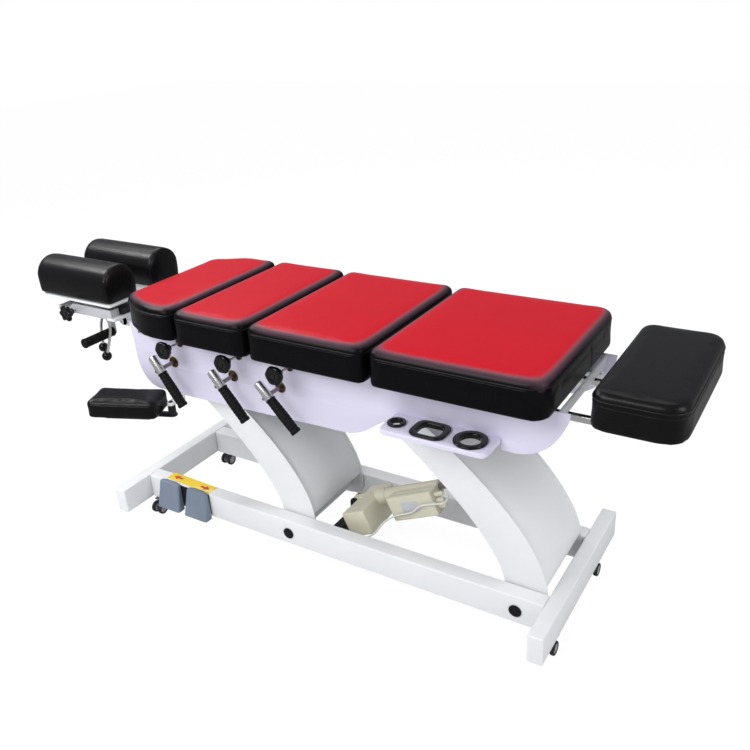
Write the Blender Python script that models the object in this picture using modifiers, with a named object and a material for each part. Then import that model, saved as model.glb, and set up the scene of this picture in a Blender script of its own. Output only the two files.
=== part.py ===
"""Chiropractic drop table, modelled as an assembly of separate pieces.

Metres, +Z up. +X runs from the head end to the foot end and -Y is the near side.
The origin lies on the floor under the middle of the table.
"""
import math

import bmesh
import bpy
from mathutils import Matrix, Vector

# Clearances, in metres
GAP = 0.0003  # between pieces that touch
PLAY = 0.0006  # round a shaft that turns or slides in its bore
OVERRUN = 0.004  # how far a cutter runs past the face it opens
SINK = 0.001  # how far a welded piece runs into the piece that carries it

# Base frame
TUBE_HEIGHT = 0.090
TUBE_WALL = 0.003
TUBE_BEVEL = 0.003
BASE_UNDERSIDE = 0.054
FOOT_WIDTH = 0.045
FOOT_LENGTH = 0.649
HEAD_FOOT_X = -0.711
END_FOOT_X = 0.822
RAIL_WIDTH = 0.051
RAIL_Y = 0.1765
VENT_RADIUS = 0.006
VENT_INSET = 0.060

# Lift linkage: the arms' lower and upper pivots
LOWER_PIVOT_X = -0.068
LOWER_PIVOT_Z = 0.096
PIVOT_SPACING = 0.786
UPPER_PIVOT_X = -0.584
UPPER_PIVOT_Z = 0.666
SHAFT_RADIUS = 0.012
SHAFT_CAP_RADIUS = 0.019
SHAFT_CAP_THICKNESS = 0.003

# Lift arms
ARM_HALF_WIDTH = 0.148
CHEEK_THICKNESS = 0.005
SKIN_THICKNESS = 0.004
SKIN_RECESS = 0.005
ARM_FOOT_HALF_DEPTH = 0.0635
ARM_TOP_HALF_DEPTH = 0.037
ARM_END_DROP = 0.042
ARM_FOOT_OFFSET = 0.006
ARM_BULGE_LOW = (0.080, 0.135)
ARM_BULGE_HIGH = (0.470, 0.097)
BEARING_RADIUS = 0.022
ARM_STEPS = 10  # stretches along an arm's curved edge
ARM_END_STEPS = 6  # stretches round an arm's end

# Actuator
ACTUATOR_REAR = (0.0717, 0.1474)
ACTUATOR_FRONT = (0.5007, 0.3446)
CROSSBAR_SIZE = 0.040
CROSSBAR_WALL = 0.003
CROSSBAR_TOP = 0.114
CLEVIS_LUG = 0.006
CLEVIS_GAP = 0.025
CLEVIS_RADIUS = 0.015
CLEVIS_PIN_RADIUS = 0.006
REAR_EYE_WIDTH = 0.023
REAR_EYE_RADIUS = 0.014
MOTOR_LENGTH = 0.180
MOTOR_DEPTH = 0.080
MOTOR_HEIGHT = 0.075
MOTOR_START = 0.024
MOTOR_DROP = 0.033
MOTOR_Y = -0.018
MOTOR_BEVEL = 0.007
OUTER_TUBE_RADIUS = 0.0225
OUTER_TUBE_END = 0.345
ROD_RADIUS = 0.010
ROD_BORE_START = 0.140
ROD_START = 0.270
ROD_EYE_RADIUS = 0.0172
ROD_EYE_HOLE = 0.0125
ROD_EYE_WIDTH = 0.014
ARM_LUG_THICKNESS = 0.005
ARM_LUG_GAP = 0.021
ARM_LUG_RADIUS = 0.011
ARM_PIN_RADIUS = 0.004
CONTROL_LENGTH = 0.172
CONTROL_HEIGHT = 0.082
CONTROL_DEPTH = 0.050
CONTROL_ALONG = 0.266
CONTROL_DROP = 0.022
CONTROL_BEVEL = 0.005
PLUG_RADIUS = 0.008
PLUG_LENGTH = 0.030
PLUG_SPREAD = 0.020
LEAD_RADIUS = 0.003
LEAD_ROUTE = (
    (0.4203, -0.0478, 0.3058), (0.4327, -0.0510, 0.3102), (0.4428, -0.0640, 0.3049),
    (0.4362, -0.0780, 0.2930), (0.4000, -0.0815, 0.2790), (0.3579, -0.0800, 0.2590),
    (0.3256, -0.0790, 0.2250), (0.2700, -0.0800, 0.1950),
    (0.2320, -0.0900, 0.1660), (0.2060, -0.1180, 0.1290), (0.1640, -0.1360, 0.1030),
    (0.1550, -0.1480, 0.0990),
)

# Casters
CASTER_X = 0.056
CASTER_Y = 0.190
CASTER_TRAIL = 0.020
CASTER_STEM_RADIUS = 0.005
CASTER_STEM_LENGTH = 0.014
CASTER_HEAD_RADIUS = 0.021
CASTER_HEAD_THICKNESS = 0.007
WHEEL_RADIUS = 0.021
WHEEL_WIDTH = 0.013
WHEEL_GAP = 0.014
CASTER_HUB_WIDTH = 0.012
CASTER_HUB_RADIUS = 0.009
AXLE_RADIUS = 0.004

# Pedals
PEDAL_REACH = (0.1353, 0.2623)
PEDAL_X = tuple(HEAD_FOOT_X + reach for reach in PEDAL_REACH)
PEDAL_TOP_WIDTH = 0.072
PEDAL_FOOT_WIDTH = 0.090
PEDAL_UNDERSIDE = 0.054
PEDAL_HEIGHT = 0.098
PEDAL_TOP_REACH = 0.013
PEDAL_FOOT_REACH = 0.038
PEDAL_BACK_TOP = 0.0055
PEDAL_BACK_FOOT = 0.0105
PEDAL_WALL = 0.003
PEDAL_BEVEL = 0.005
PEDAL_PIVOT_HEIGHT = 0.073
PEDAL_PIVOT_REACH = 0.0105
PEDAL_PIN_RADIUS = 0.002
PEDAL_LUG_WIDTH = 0.020
PEDAL_LUG_RADIUS = 0.0035
PEDAL_PLATE = 0.003
PEDAL_PLATE_MARGIN = 0.008

# Upper frame
FRAME_TUBE_HEIGHT = 0.052
FRAME_TOP = UPPER_PIVOT_Z + FRAME_TUBE_HEIGHT / 2
FRAME_TUBE_WIDTH = 0.025
FRAME_TUBE_WALL = 0.0025
FRAME_RAIL_Y = 0.164
FRAME_HEAD_X = -0.655
FRAME_END_X = 0.812
CROSS_TUBE_WIDTH = 0.030
CROSS_TUBE_X = (-0.640, -0.020, 0.660)
END_PLATE_THICKNESS = 0.004
END_PLATE_UNDERSIDE = FRAME_TOP - FRAME_TUBE_HEIGHT
END_PLATE_RISE = 0.045
END_PLATE_TOP = FRAME_TOP + END_PLATE_RISE
RISER_X = (0.400, 0.720)
RISER_WIDTH = 0.040
SKIRT_THICKNESS = 0.003
SKIRT_OUTER_Y = 0.1935
SKIRT_RISE = 0.046
SKIRT_TOP = FRAME_TOP + SKIRT_RISE
STANDOFF_X = (-0.625, -0.330, 0.060, 0.345, 0.770)
STANDOFF_SIZE = 0.016

# Cushions
CUSHION_HALF_WIDTH = 0.272
SECTION_RISE = 0.0487  # from the frame's top to the cushions
CUSHION_SIDE = 0.0863
CUSHION_CROWN = 0.018
CUSHION_UNDERSIDE = FRAME_TOP + SECTION_RISE
CUSHION_SEAM = CUSHION_UNDERSIDE + CUSHION_SIDE
CUSHION_TOP = CUSHION_SEAM + CUSHION_CROWN
CHEST_HEAD_X = -0.620
CHEST_SHOULDER_X = -0.520
CHEST_HEAD_HALF_WIDTH = 0.170
CHEST_END_X = -0.3816
THORACIC_X = (-0.3690, -0.0963)
LUMBAR_X = (-0.0855, 0.3060)
PELVIC_X = (0.3195, 0.8090)
CUSHION_CORNER = 0.035
PELVIC_END_CORNER = 0.055
CUSHION_TUCK = 0.006
CUSHION_BULGE = 0.004
CUSHION_SHOULDER = 0.012

# Drop sections: plate, stop posts, cocking levers and tension knobs
PLATE_THICKNESS = 0.008
PLATE_HALF_WIDTH = 0.185
PLATE_MARGIN = 0.020
FLANGE_THICKNESS = 0.0035
FLANGE_OUTER_Y = 0.1825
FLANGE_DROP = 0.042
FLANGE_UNDERSIDE = FRAME_TOP - FLANGE_DROP
POST_SIZE = 0.018
LEVER_SHAFT_X = (-0.474, -0.225, -0.042)
LEVER_SHAFT_DROP = 0.065
LEVER_SHAFT_Z = FRAME_TOP - LEVER_SHAFT_DROP
LEVER_SHAFT_RADIUS = 0.0065
LEVER_SHAFT_INNER_Y = 0.158
BEARING_LUG_THICKNESS = 0.010
BEARING_LUG_WIDTH = 0.026
BEARING_LUG_DROP = 0.014
CRANK_LENGTH = 0.036
CRANK_THICKNESS = 0.008
CRANK_TIP_RADIUS = 0.008
CRANK_Y = 0.1825
TONGUE_WIDTH = 0.018
CRANK_GAP = 0.0008
LEVER_Y = 0.2565
LEVER_BAR_RADIUS = 0.0125
LEVER_SLOPE = math.radians(57)
LEVER_ABOVE = 0.050
LEVER_CHROME = 0.062
LEVER_LENGTH = 0.189
LEVER_CORE_RADIUS = 0.009
GRIP_RADIUS = 0.0155
GRIP_RIBS = 6
GRIP_RIB_DEPTH = 0.0012
LEVER_BOLT_RADIUS = 0.006
LEVER_BOLT_LENGTH = 0.010
KNOB_X = (-0.435, -0.194, -0.001)
KNOB_RISE = 0.010
KNOB_Z = FRAME_TOP + KNOB_RISE
KNOB_Y = 0.2655
KNOB_RADIUS = 0.027
KNOB_THICKNESS = 0.016
KNOB_LOBES = 6
KNOB_LOBE_SHARE = 0.10
KNOB_HUB_RADIUS = 0.011
KNOB_HUB_LENGTH = 0.020
KNOB_ROD_RADIUS = 0.004
KNOB_ROD_INNER_Y = 0.158
KNOB_BLOCK_SIZE = 0.020
DROP_TRAVEL = 0.018
SKIRT_HOLE_RADIUS = 0.016
KNOB_HOLE_SHARE = 0.8

# Tool shelf and its grommets, on the near skirt
SHELF_X = (0.354, 0.664)
SHELF_DROP = 0.060
SHELF_TOP = FRAME_TOP - SHELF_DROP
SHELF_REACH = 0.1015
SHELF_THICKNESS = 0.003
SHELF_LIP = 0.014
SHELF_CORNER = 0.022
GROMMET_Y = -0.246
GROMMET_X = (0.387, 0.4875, 0.603)
GROMMET_OUTER = (0.026, 0.046, 0.046)
GROMMET_HOLE = (0.016, 0.029, 0.028)
GROMMET_SQUARE_SHARE = 0.84
GROMMET_CORNER_SHARE = 0.62
GROMMET_HEIGHT = 0.007
GROMMET_NECK = 0.003

# Foot section
FOOT_CUSHION_X = (0.8895, 1.1132)
FOOT_CUSHION_HALF_WIDTH = 0.234
SLIDE_RAIL_Y = 0.108
SLIDE_RAIL_RISE = 0.001
SLIDE_RAIL_Z = FRAME_TOP + SLIDE_RAIL_RISE
SLIDE_RAIL_WIDTH = 0.015
SLIDE_RAIL_HEIGHT = 0.030
SLIDE_RAIL_WALL = 0.002
SLIDE_CLEARANCE = 0.001
SLIDE_RAIL_X = (0.530, 1.080)
SLIDE_BAR_X = (0.930, 1.060)
SLIDE_BAR_WIDTH = 0.030
FOOT_RISE = 0.0405  # from the middle of the slide's rails to the cushion
FOOT_CUSHION_SIDE = 0.075
FOOT_CUSHION_CROWN = 0.0195
FOOT_CUSHION_UNDERSIDE = SLIDE_RAIL_Z + FOOT_RISE
FOOT_CUSHION_SEAM = FOOT_CUSHION_UNDERSIDE + FOOT_CUSHION_SIDE
FOOT_CUSHION_TOP = FOOT_CUSHION_SEAM + FOOT_CUSHION_CROWN

# Armrests
ARMREST_HINGE_X = -0.5085
ARMREST_HINGE_Y = 0.205
ARMREST_PIN_RADIUS = 0.006
ARMREST_EYE_RADIUS = 0.013
ARMREST_EAR_Z = 0.470
ARMREST_EAR_THICKNESS = 0.010
ARMREST_HANGER_WIDTH = 0.050
ARMREST_HANGER_THICKNESS = 0.006
ARMREST_HANGER_Y = 0.168
ARMREST_YAW = math.radians(20)
ARMREST_BAR_WIDTH = 0.032
ARMREST_BAR_THICKNESS = 0.006
ARMREST_BAR_LENGTH = 0.170
ARMREST_BAR_TOP = 0.436
PAD_LENGTH = 0.225
PAD_WIDTH = 0.115
PAD_START = 0.030
PAD_OFFSET = 0.035
PAD_SEAM_SHARE = 0.75
PAD_THICKNESS = 0.052
PAD_CORNER = 0.020

# Head section
SUPPORT_Y = 0.042
SUPPORT_THICKNESS = 0.008
SUPPORT_HEIGHT = 0.040
TILT_X = -0.860
TILT_DROP = 0.006
TILT_Z = UPPER_PIVOT_Z - TILT_DROP
TILT_SHAFT_RADIUS = 0.008
SUPPORT_NOSE_RADIUS = 0.022
TRAY_X = (-1.050, -0.800)
TRAY_HALF_WIDTH = 0.165
TRAY_RISE = 0.049
TRAY_UNDERSIDE = TILT_Z + TRAY_RISE
TRAY_THICKNESS = 0.003
TRAY_RIM = 0.018
TILT_LUG_Y = 0.028
TILT_LUG_THICKNESS = 0.006
TILT_LUG_RADIUS = 0.020
CARRIAGE_X = (-1.070, -0.790)
CARRIAGE_HALF_WIDTH = 0.170
CARRIAGE_RISE = 0.036
CARRIAGE_UNDERSIDE = TRAY_UNDERSIDE + CARRIAGE_RISE
CARRIAGE_THICKNESS = 0.004
CARRIAGE_RIM = 0.003
CARRIAGE_POST_X = 0.085
CARRIAGE_POST_RADIUS = 0.009
HEAD_CUSHION_X = (-1.1115, -0.7407)
HEAD_CUSHION_Y = 0.1035
HEAD_CUSHION_WIDTH = 0.1485
CARRIAGE_DEPTH = 0.0245
HEAD_CUSHION_UNDERSIDE = CARRIAGE_UNDERSIDE + CARRIAGE_DEPTH
HEAD_CUSHION_SIDE = 0.060
HEAD_CUSHION_HEIGHT = 0.135
HEAD_CUSHION_TOP = HEAD_CUSHION_UNDERSIDE + HEAD_CUSHION_HEIGHT
HEAD_CUSHION_BEVEL = 0.008
HEAD_KNOB_REACH = 0.098
HEAD_KNOB_RISE = 0.0135
HEAD_KNOB_X = TILT_X - HEAD_KNOB_REACH
HEAD_KNOB_Z = TRAY_UNDERSIDE + HEAD_KNOB_RISE
HEAD_KNOB_Y = 0.200
HEAD_KNOB_ROD_END = 0.120
HANDLE_REACH = 0.045
HANDLE_DROP = 0.094
HANDLE_X = TILT_X - HANDLE_REACH
HANDLE_Z = TRAY_UNDERSIDE - HANDLE_DROP
HANDLE_Y = (0.062, 0.195)
HANDLE_RADIUS = 0.0135
HANDLE_SHAFT_RADIUS = 0.006
HANDLE_SHAFT_LENGTH = 0.012
HANDLE_LUG_RADIUS = 0.013
HANDLE_LUG_THICKNESS = 0.006
BALL_RADIUS = 0.012
BALL_ROD_RADIUS = 0.004
BALL_LEVER_Y = (-0.112, -0.082)
BALL_ROUTES = (  # reach ahead of the tilt pivot and drop below the tray
    ((0.008, 0.009), (0.012, 0.059), (0.019, 0.104), (0.045, 0.174)),
    ((0.040, 0.009), (0.065, 0.054), (0.071, 0.104), (0.080, 0.150)),
)
KNUCKLE_RADIUS = 0.0055
BALL_PIN_RADIUS = 0.0025
BALL_PIN_LENGTH = 0.012
BALL_EAR_SIZE = 0.014
BALL_EAR_THICKNESS = 0.005

# Colours as (red, green, blue), roughness, metallic
LOOKS = {
    "white_coat": ((0.86, 0.86, 0.88), 0.35, 0.0),
    "skirt_coat": ((0.74, 0.70, 0.84), 0.40, 0.0),
    "grey_coat": ((0.62, 0.64, 0.66), 0.40, 0.2),
    "dark_steel": ((0.06, 0.06, 0.065), 0.45, 0.6),
    "steel": ((0.60, 0.58, 0.55), 0.30, 1.0),
    "chrome": ((0.82, 0.82, 0.83), 0.12, 1.0),
    "black_plastic": ((0.015, 0.015, 0.016), 0.35, 0.0),
    "beige_plastic": ((0.52, 0.48, 0.38), 0.50, 0.0),
    "pedal_plastic": ((0.24, 0.30, 0.38), 0.55, 0.0),
    "black_vinyl": ((0.012, 0.012, 0.014), 0.38, 0.0),
    "red_vinyl": ((0.65, 0.02, 0.04), 0.42, 0.0),
    "black_rubber": ((0.02, 0.02, 0.02), 0.70, 0.0),
    "cord_white": ((0.80, 0.80, 0.74), 0.50, 0.0),
}

AXES = {"X": Vector((1, 0, 0)), "Y": Vector((0, 1, 0)), "Z": Vector((0, 0, 1))}
BODIES = {}


def start_scene():
    """Empty the scene and make one collection for the pieces and one for the cutters."""
    for obj in list(bpy.data.objects):
        bpy.data.objects.remove(obj, do_unlink=True)
    for name in ("chiropractic_drop_table", "cutters"):
        collection = bpy.data.collections.new(name)
        bpy.context.scene.collection.children.link(collection)


def make_look(name):
    """A Principled material of one of the named looks."""
    if name in bpy.data.materials:
        return bpy.data.materials[name]
    colour, roughness, metallic = LOOKS[name]
    look = bpy.data.materials.new(name)
    look.use_nodes = True
    shader = look.node_tree.nodes["Principled BSDF"]
    shader.inputs["Base Color"].default_value = (*colour, 1)
    shader.inputs["Roughness"].default_value = roughness
    shader.inputs["Metallic"].default_value = metallic
    return look


def make_body(name, location):
    """An empty on a moving body's joint, which its pieces hang from."""
    empty = bpy.data.objects.new("joint_" + name, None)
    empty.location = location
    bpy.data.collections["chiropractic_drop_table"].objects.link(empty)
    BODIES[name] = empty


def finish(obj, name, look, body=None):
    """Name a piece, give it its look and hang it from its body's empty."""
    obj.name = name
    obj.data.materials.clear()
    obj.data.materials.append(make_look(look))
    for collection in obj.users_collection:
        collection.objects.unlink(obj)
    bpy.data.collections["chiropractic_drop_table"].objects.link(obj)
    obj.data.shade_smooth()
    obj.data.set_sharp_from_angle(angle=math.radians(35))
    if body:
        empty = BODIES[body]
        obj.data.transform(Matrix.Translation(-empty.location))
        obj.parent = empty
    return obj


def from_bmesh(shape):
    """An object from a bmesh, kept with the cutters until it is finished."""
    mesh = bpy.data.meshes.new("shape")
    shape.to_mesh(mesh)
    shape.free()
    obj = bpy.data.objects.new("shape", mesh)
    bpy.data.collections["cutters"].objects.link(obj)
    return obj


def turn(axis, angle, centre):
    """A turn about an axis through a centre."""
    centre = Vector(centre)
    return (Matrix.Translation(centre) @ Matrix.Rotation(angle, 4, axis)
            @ Matrix.Translation(-centre))


def box(low, high):
    """A box from its low corner to its high corner."""
    low = Vector(low)
    high = Vector(high)
    shape = bmesh.new()
    bmesh.ops.create_cube(shape, size=1)
    bmesh.ops.scale(shape, vec=high - low, verts=shape.verts)
    bmesh.ops.translate(shape, vec=(low + high) / 2, verts=shape.verts)
    return from_bmesh(shape)


def rod(radius, start, end, sides=12, end_radius=None):
    """A round rod, or a cone, between two points."""
    start = Vector(start)
    end = Vector(end)
    direction = end - start
    shape = bmesh.new()
    bmesh.ops.create_cone(
        shape, cap_ends=True, segments=sides, radius1=radius,
        radius2=radius if end_radius is None else end_radius, depth=direction.length)
    facing = AXES["Z"].rotation_difference(direction).to_matrix().to_4x4()
    shape.transform(Matrix.Translation((start + end) / 2) @ facing)
    return from_bmesh(shape)


def ball(radius, centre, segments=10, rings=6):
    """A ball."""
    shape = bmesh.new()
    bmesh.ops.create_uvsphere(shape, u_segments=segments, v_segments=rings, radius=radius)
    bmesh.ops.translate(shape, vec=centre, verts=shape.verts)
    return from_bmesh(shape)


def mesh_of_curve(curve_object):
    """A closed mesh object in the place of a curve object."""
    bpy.context.view_layer.update()
    evaluated = curve_object.evaluated_get(bpy.context.evaluated_depsgraph_get())
    mesh = bpy.data.meshes.new_from_object(evaluated)
    mesh.transform(curve_object.matrix_world)
    shape = bmesh.new()
    shape.from_mesh(mesh)
    bmesh.ops.remove_doubles(shape, verts=shape.verts, dist=GAP / 10)
    bpy.data.objects.remove(curve_object, do_unlink=True)
    bpy.data.meshes.remove(mesh)
    return from_bmesh(shape)


def plate(outlines, low, high, axis="Y"):
    """A flat plate from closed outlines, the first outside and the rest its holes.

    The outlines lie in XZ for a plate whose thickness is along Y, in XY for Z and in YZ for X.
    """
    curve = bpy.data.curves.new("outline", "CURVE")
    curve.dimensions = "2D"
    curve.fill_mode = "BOTH"
    curve.extrude = (high - low) / 2
    for outline in outlines:
        spline = curve.splines.new("POLY")
        spline.points.add(len(outline) - 1)
        for point, (across, up) in zip(spline.points, outline):
            point.co = (across, up, 0, 1)
        spline.use_cyclic_u = True
    obj = bpy.data.objects.new("outline", curve)
    bpy.data.collections["cutters"].objects.link(obj)
    middle = (low + high) / 2
    if axis == "Y":
        obj.matrix_world = (Matrix.Translation(AXES["Y"] * middle)
                            @ Matrix.Rotation(math.radians(90), 4, "X"))
    elif axis == "X":
        obj.matrix_world = (Matrix.Translation(AXES["X"] * middle)
                            @ Matrix(((0, 0, 1, 0), (1, 0, 0, 0), (0, 1, 0, 0), (0, 0, 0, 1))))
    else:
        obj.matrix_world = Matrix.Translation(AXES["Z"] * middle)
    return mesh_of_curve(obj)


def tube(points, radius, resolution=2):
    """A round wire or rail along a list of points."""
    curve = bpy.data.curves.new("wire", "CURVE")
    curve.dimensions = "3D"
    curve.bevel_depth = radius
    curve.bevel_resolution = resolution
    curve.use_fill_caps = True
    spline = curve.splines.new("POLY")
    spline.points.add(len(points) - 1)
    for point, place in zip(spline.points, points):
        point.co = (*place, 1)
    obj = bpy.data.objects.new("wire", curve)
    bpy.data.collections["cutters"].objects.link(obj)
    return mesh_of_curve(obj)


def turned(profile, start, direction, steps=12):
    """A turned piece from (radius, height) points, top to bottom, closed on its axis."""
    mesh = bpy.data.meshes.new("profile")
    points = [(radius, 0, height) for radius, height in profile]
    mesh.from_pydata(points, [(i, i + 1) for i in range(len(points) - 1)], [])
    obj = bpy.data.objects.new("turned", mesh)
    bpy.data.collections["cutters"].objects.link(obj)
    screw = obj.modifiers.new("turn", "SCREW")
    screw.steps = steps
    screw.render_steps = steps
    screw.use_merge_vertices = True
    screw.merge_threshold = GAP / 10
    facing = AXES["Z"].rotation_difference(Vector(direction)).to_matrix().to_4x4()
    obj.matrix_world = Matrix.Translation(start) @ facing
    return mesh_of_curve(obj)


def tool(obj, other, operation):
    """Cut or weld a piece with another, which stays hidden among the cutters."""
    other.hide_render = True
    other.display_type = "WIRE"
    change = obj.modifiers.new(operation.lower(), "BOOLEAN")
    change.operation = operation
    change.solver = "EXACT"
    change.object = other
    return obj


def cut(obj, *cutters):
    """Take shapes out of a piece."""
    for cutter in cutters:
        tool(obj, cutter, "DIFFERENCE")
    return obj


def weld(obj, *others):
    """Join shapes onto a piece, as one body."""
    for other in others:
        tool(obj, other, "UNION")
    return obj


def ease(obj, width, segments=1):
    """Round the sharp edges of a piece."""
    bevel = obj.modifiers.new("ease", "BEVEL")
    bevel.width = width
    bevel.segments = segments
    bevel.limit_method = "ANGLE"
    bevel.angle_limit = math.radians(35)
    return obj


def fillet(corners, radii, steps=3):
    """A closed outline whose corners are rounded with arcs."""
    points = []
    count = len(corners)
    for index, corner in enumerate(corners):
        here = Vector(corner)
        back = (Vector(corners[index - 1]) - here).normalized()
        ahead = (Vector(corners[(index + 1) % count]) - here).normalized()
        radius = radii[index] if isinstance(radii, (list, tuple)) else radii
        half = back.angle(ahead) / 2
        centre = here + (back + ahead).normalized() * radius / math.sin(half)
        first = here + back * radius / math.tan(half) - centre
        last = here + ahead * radius / math.tan(half) - centre
        sweep = first.angle_signed(last)
        for step in range(steps + 1):
            spin = Matrix.Rotation(-sweep * step / steps, 2)
            points.append(tuple(centre + spin @ first))
    return points


def shrink(corners, distance):
    """A convex outline, counterclockwise, moved in by a distance on every side."""
    moved = []
    count = len(corners)
    for index, corner in enumerate(corners):
        here = Vector(corner)
        into = (here - Vector(corners[index - 1])).normalized()
        out = (Vector(corners[(index + 1) % count]) - here).normalized()
        normal = Vector((-into.y, into.x)) + Vector((-out.y, out.x))
        moved.append(tuple(here + normal * distance / (1 + into.dot(out))))
    return moved


def circle(centre, radius, sides=12):
    """The points of a circle."""
    return [(centre[0] + radius * math.cos(math.tau * i / sides),
             centre[1] + radius * math.sin(math.tau * i / sides)) for i in range(sides)]


def rectangle(low, high):
    """The corners of a rectangle, counterclockwise."""
    return [low, (high[0], low[1]), high, (low[0], high[1])]


def capsule(start, end, radius, sides=5):
    """A flat link with round ends between two points."""
    start = Vector(start)
    end = Vector(end)
    heading = math.atan2(end.y - start.y, end.x - start.x)
    points = []
    for centre, base in ((end, heading - math.pi / 2), (start, heading + math.pi / 2)):
        for step in range(sides + 1):
            angle = base + math.pi * step / sides
            points.append((centre.x + radius * math.cos(angle), centre.y + radius * math.sin(angle)))
    return points


def loft(rings):
    """A closed form through rings of points with the same count, capped at both ends."""
    shape = bmesh.new()
    loops = [[shape.verts.new(point) for point in ring] for ring in rings]
    count = len(loops[0])
    for lower, upper in zip(loops, loops[1:]):
        for i in range(count):
            j = (i + 1) % count
            shape.faces.new((lower[i], lower[j], upper[j], upper[i]))
    shape.faces.new(list(reversed(loops[0])))
    shape.faces.new(loops[-1])
    bmesh.ops.recalc_face_normals(shape, faces=shape.faces)
    return from_bmesh(shape)


def cushion(corners, radii, underside, seam, top, steps=2):
    """An upholstered cushion: tucked in below, drawn in at the sides, crowned on top."""
    side = seam - underside
    levels = (
        (underside, CUSHION_TUCK + CUSHION_BULGE),
        (underside + CUSHION_TUCK, CUSHION_BULGE),
        (underside + side / 2, 0),
        (seam, CUSHION_BULGE),
        ((seam + top * 2) / 3 - CUSHION_BULGE / 2, CUSHION_SHOULDER),
        (top - CUSHION_BULGE / 2, CUSHION_SHOULDER * 3),
    )
    rings = []
    for height, inset in levels:
        inset_radii = [max(radius - inset, CUSHION_TUCK) for radius in radii]
        outline = fillet(shrink(corners, inset), inset_radii, steps)
        rings.append([(x, y, height) for x, y in outline])
    middle = Vector((sum(x for x, y in corners), sum(y for x, y in corners))) / len(corners)
    crown = [(middle.x + (x - middle.x) / 2, middle.y + (y - middle.y) / 2, top)
             for x, y, height in rings[-1]]
    rings.append(crown)
    obj = loft(rings)
    smooth = obj.modifiers.new("smooth", "SUBSURF")
    smooth.levels = 1
    smooth.render_levels = 1
    return obj


def base_feet():
    """The two cross feet: closed tubes with vent holes below, under the rails' ends."""
    half = FOOT_LENGTH / 2
    top = BASE_UNDERSIDE + TUBE_HEIGHT
    for name, x in (("base_foot_head", HEAD_FOOT_X), ("base_foot_end", END_FOOT_X)):
        left = x - FOOT_WIDTH / 2
        right = x + FOOT_WIDTH / 2
        foot = ease(box((left, -half, BASE_UNDERSIDE), (right, half, top)), TUBE_BEVEL)
        hollow = box(
            (left + TUBE_WALL, -half + TUBE_WALL, BASE_UNDERSIDE + TUBE_WALL),
            (right - TUBE_WALL, half - TUBE_WALL, top - TUBE_WALL))
        cut(foot, hollow)
        for side in (-1, 1):
            vent_y = side * (half - VENT_INSET)
            cut(foot, rod(VENT_RADIUS, (x, vent_y, BASE_UNDERSIDE - OVERRUN),
                          (x, vent_y, BASE_UNDERSIDE + TUBE_WALL + OVERRUN), 8))
            if x == caster_places()[1]:
                cut(foot, stem_hole(x, side))
        finish(foot, name, "white_coat")


def rail_ends():
    """Where the long rails start and stop, against the cross feet."""
    return HEAD_FOOT_X + FOOT_WIDTH / 2 + GAP, END_FOOT_X - FOOT_WIDTH / 2 - GAP


def base_rails():
    """The two long rails: open tubes bored for the pivot shafts and the caster stems."""
    left, right = rail_ends()
    top = BASE_UNDERSIDE + TUBE_HEIGHT
    for name, side in (("base_rail_near", -1), ("base_rail_far", 1)):
        low_y = side * RAIL_Y - RAIL_WIDTH / 2
        high_y = side * RAIL_Y + RAIL_WIDTH / 2
        rail = ease(box((left, low_y, BASE_UNDERSIDE), (right, high_y, top)), TUBE_BEVEL)
        cut(rail, box((left - OVERRUN, low_y + TUBE_WALL, BASE_UNDERSIDE + TUBE_WALL),
                      (right + OVERRUN, high_y - TUBE_WALL, top - TUBE_WALL)))
        for x in (LOWER_PIVOT_X, LOWER_PIVOT_X + PIVOT_SPACING):
            cut(rail, rod(SHAFT_RADIUS + PLAY, (x, low_y - OVERRUN, LOWER_PIVOT_Z),
                          (x, high_y + OVERRUN, LOWER_PIVOT_Z)))
        cut(rail, stem_hole(caster_places()[0], side))
        finish(rail, name, "white_coat")


def lower_shafts():
    """The lift arms' lower shafts, with their black caps on the rails' outer faces."""
    reach = RAIL_Y + RAIL_WIDTH / 2 + GAP
    for name, x in (("lower_shaft_head", LOWER_PIVOT_X),
                    ("lower_shaft_foot", LOWER_PIVOT_X + PIVOT_SPACING)):
        shaft = rod(SHAFT_RADIUS, (x, -reach - SINK, LOWER_PIVOT_Z), (x, reach + SINK, LOWER_PIVOT_Z))
        for side in (-1, 1):
            start = (x, side * reach, LOWER_PIVOT_Z)
            end = (x, side * (reach + SHAFT_CAP_THICKNESS), LOWER_PIVOT_Z)
            weld(shaft, rod(SHAFT_CAP_RADIUS, start, end, 20, SHAFT_CAP_RADIUS - SINK))
        finish(shaft, name, "black_plastic")


def actuator_line(along, up=0.0):
    """A place in XZ, measured along the actuator from its rear pivot and square to it."""
    rear = Vector(ACTUATOR_REAR)
    heading = (Vector(ACTUATOR_FRONT) - rear).normalized()
    place = rear + heading * along + Vector((-heading.y, heading.x)) * up
    return place.x, place.y


def actuator_slope():
    """The actuator's angle above the floor, as a turn about Y."""
    return math.atan2(ACTUATOR_FRONT[1] - ACTUATOR_REAR[1], ACTUATOR_FRONT[0] - ACTUATOR_REAR[0])


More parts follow.
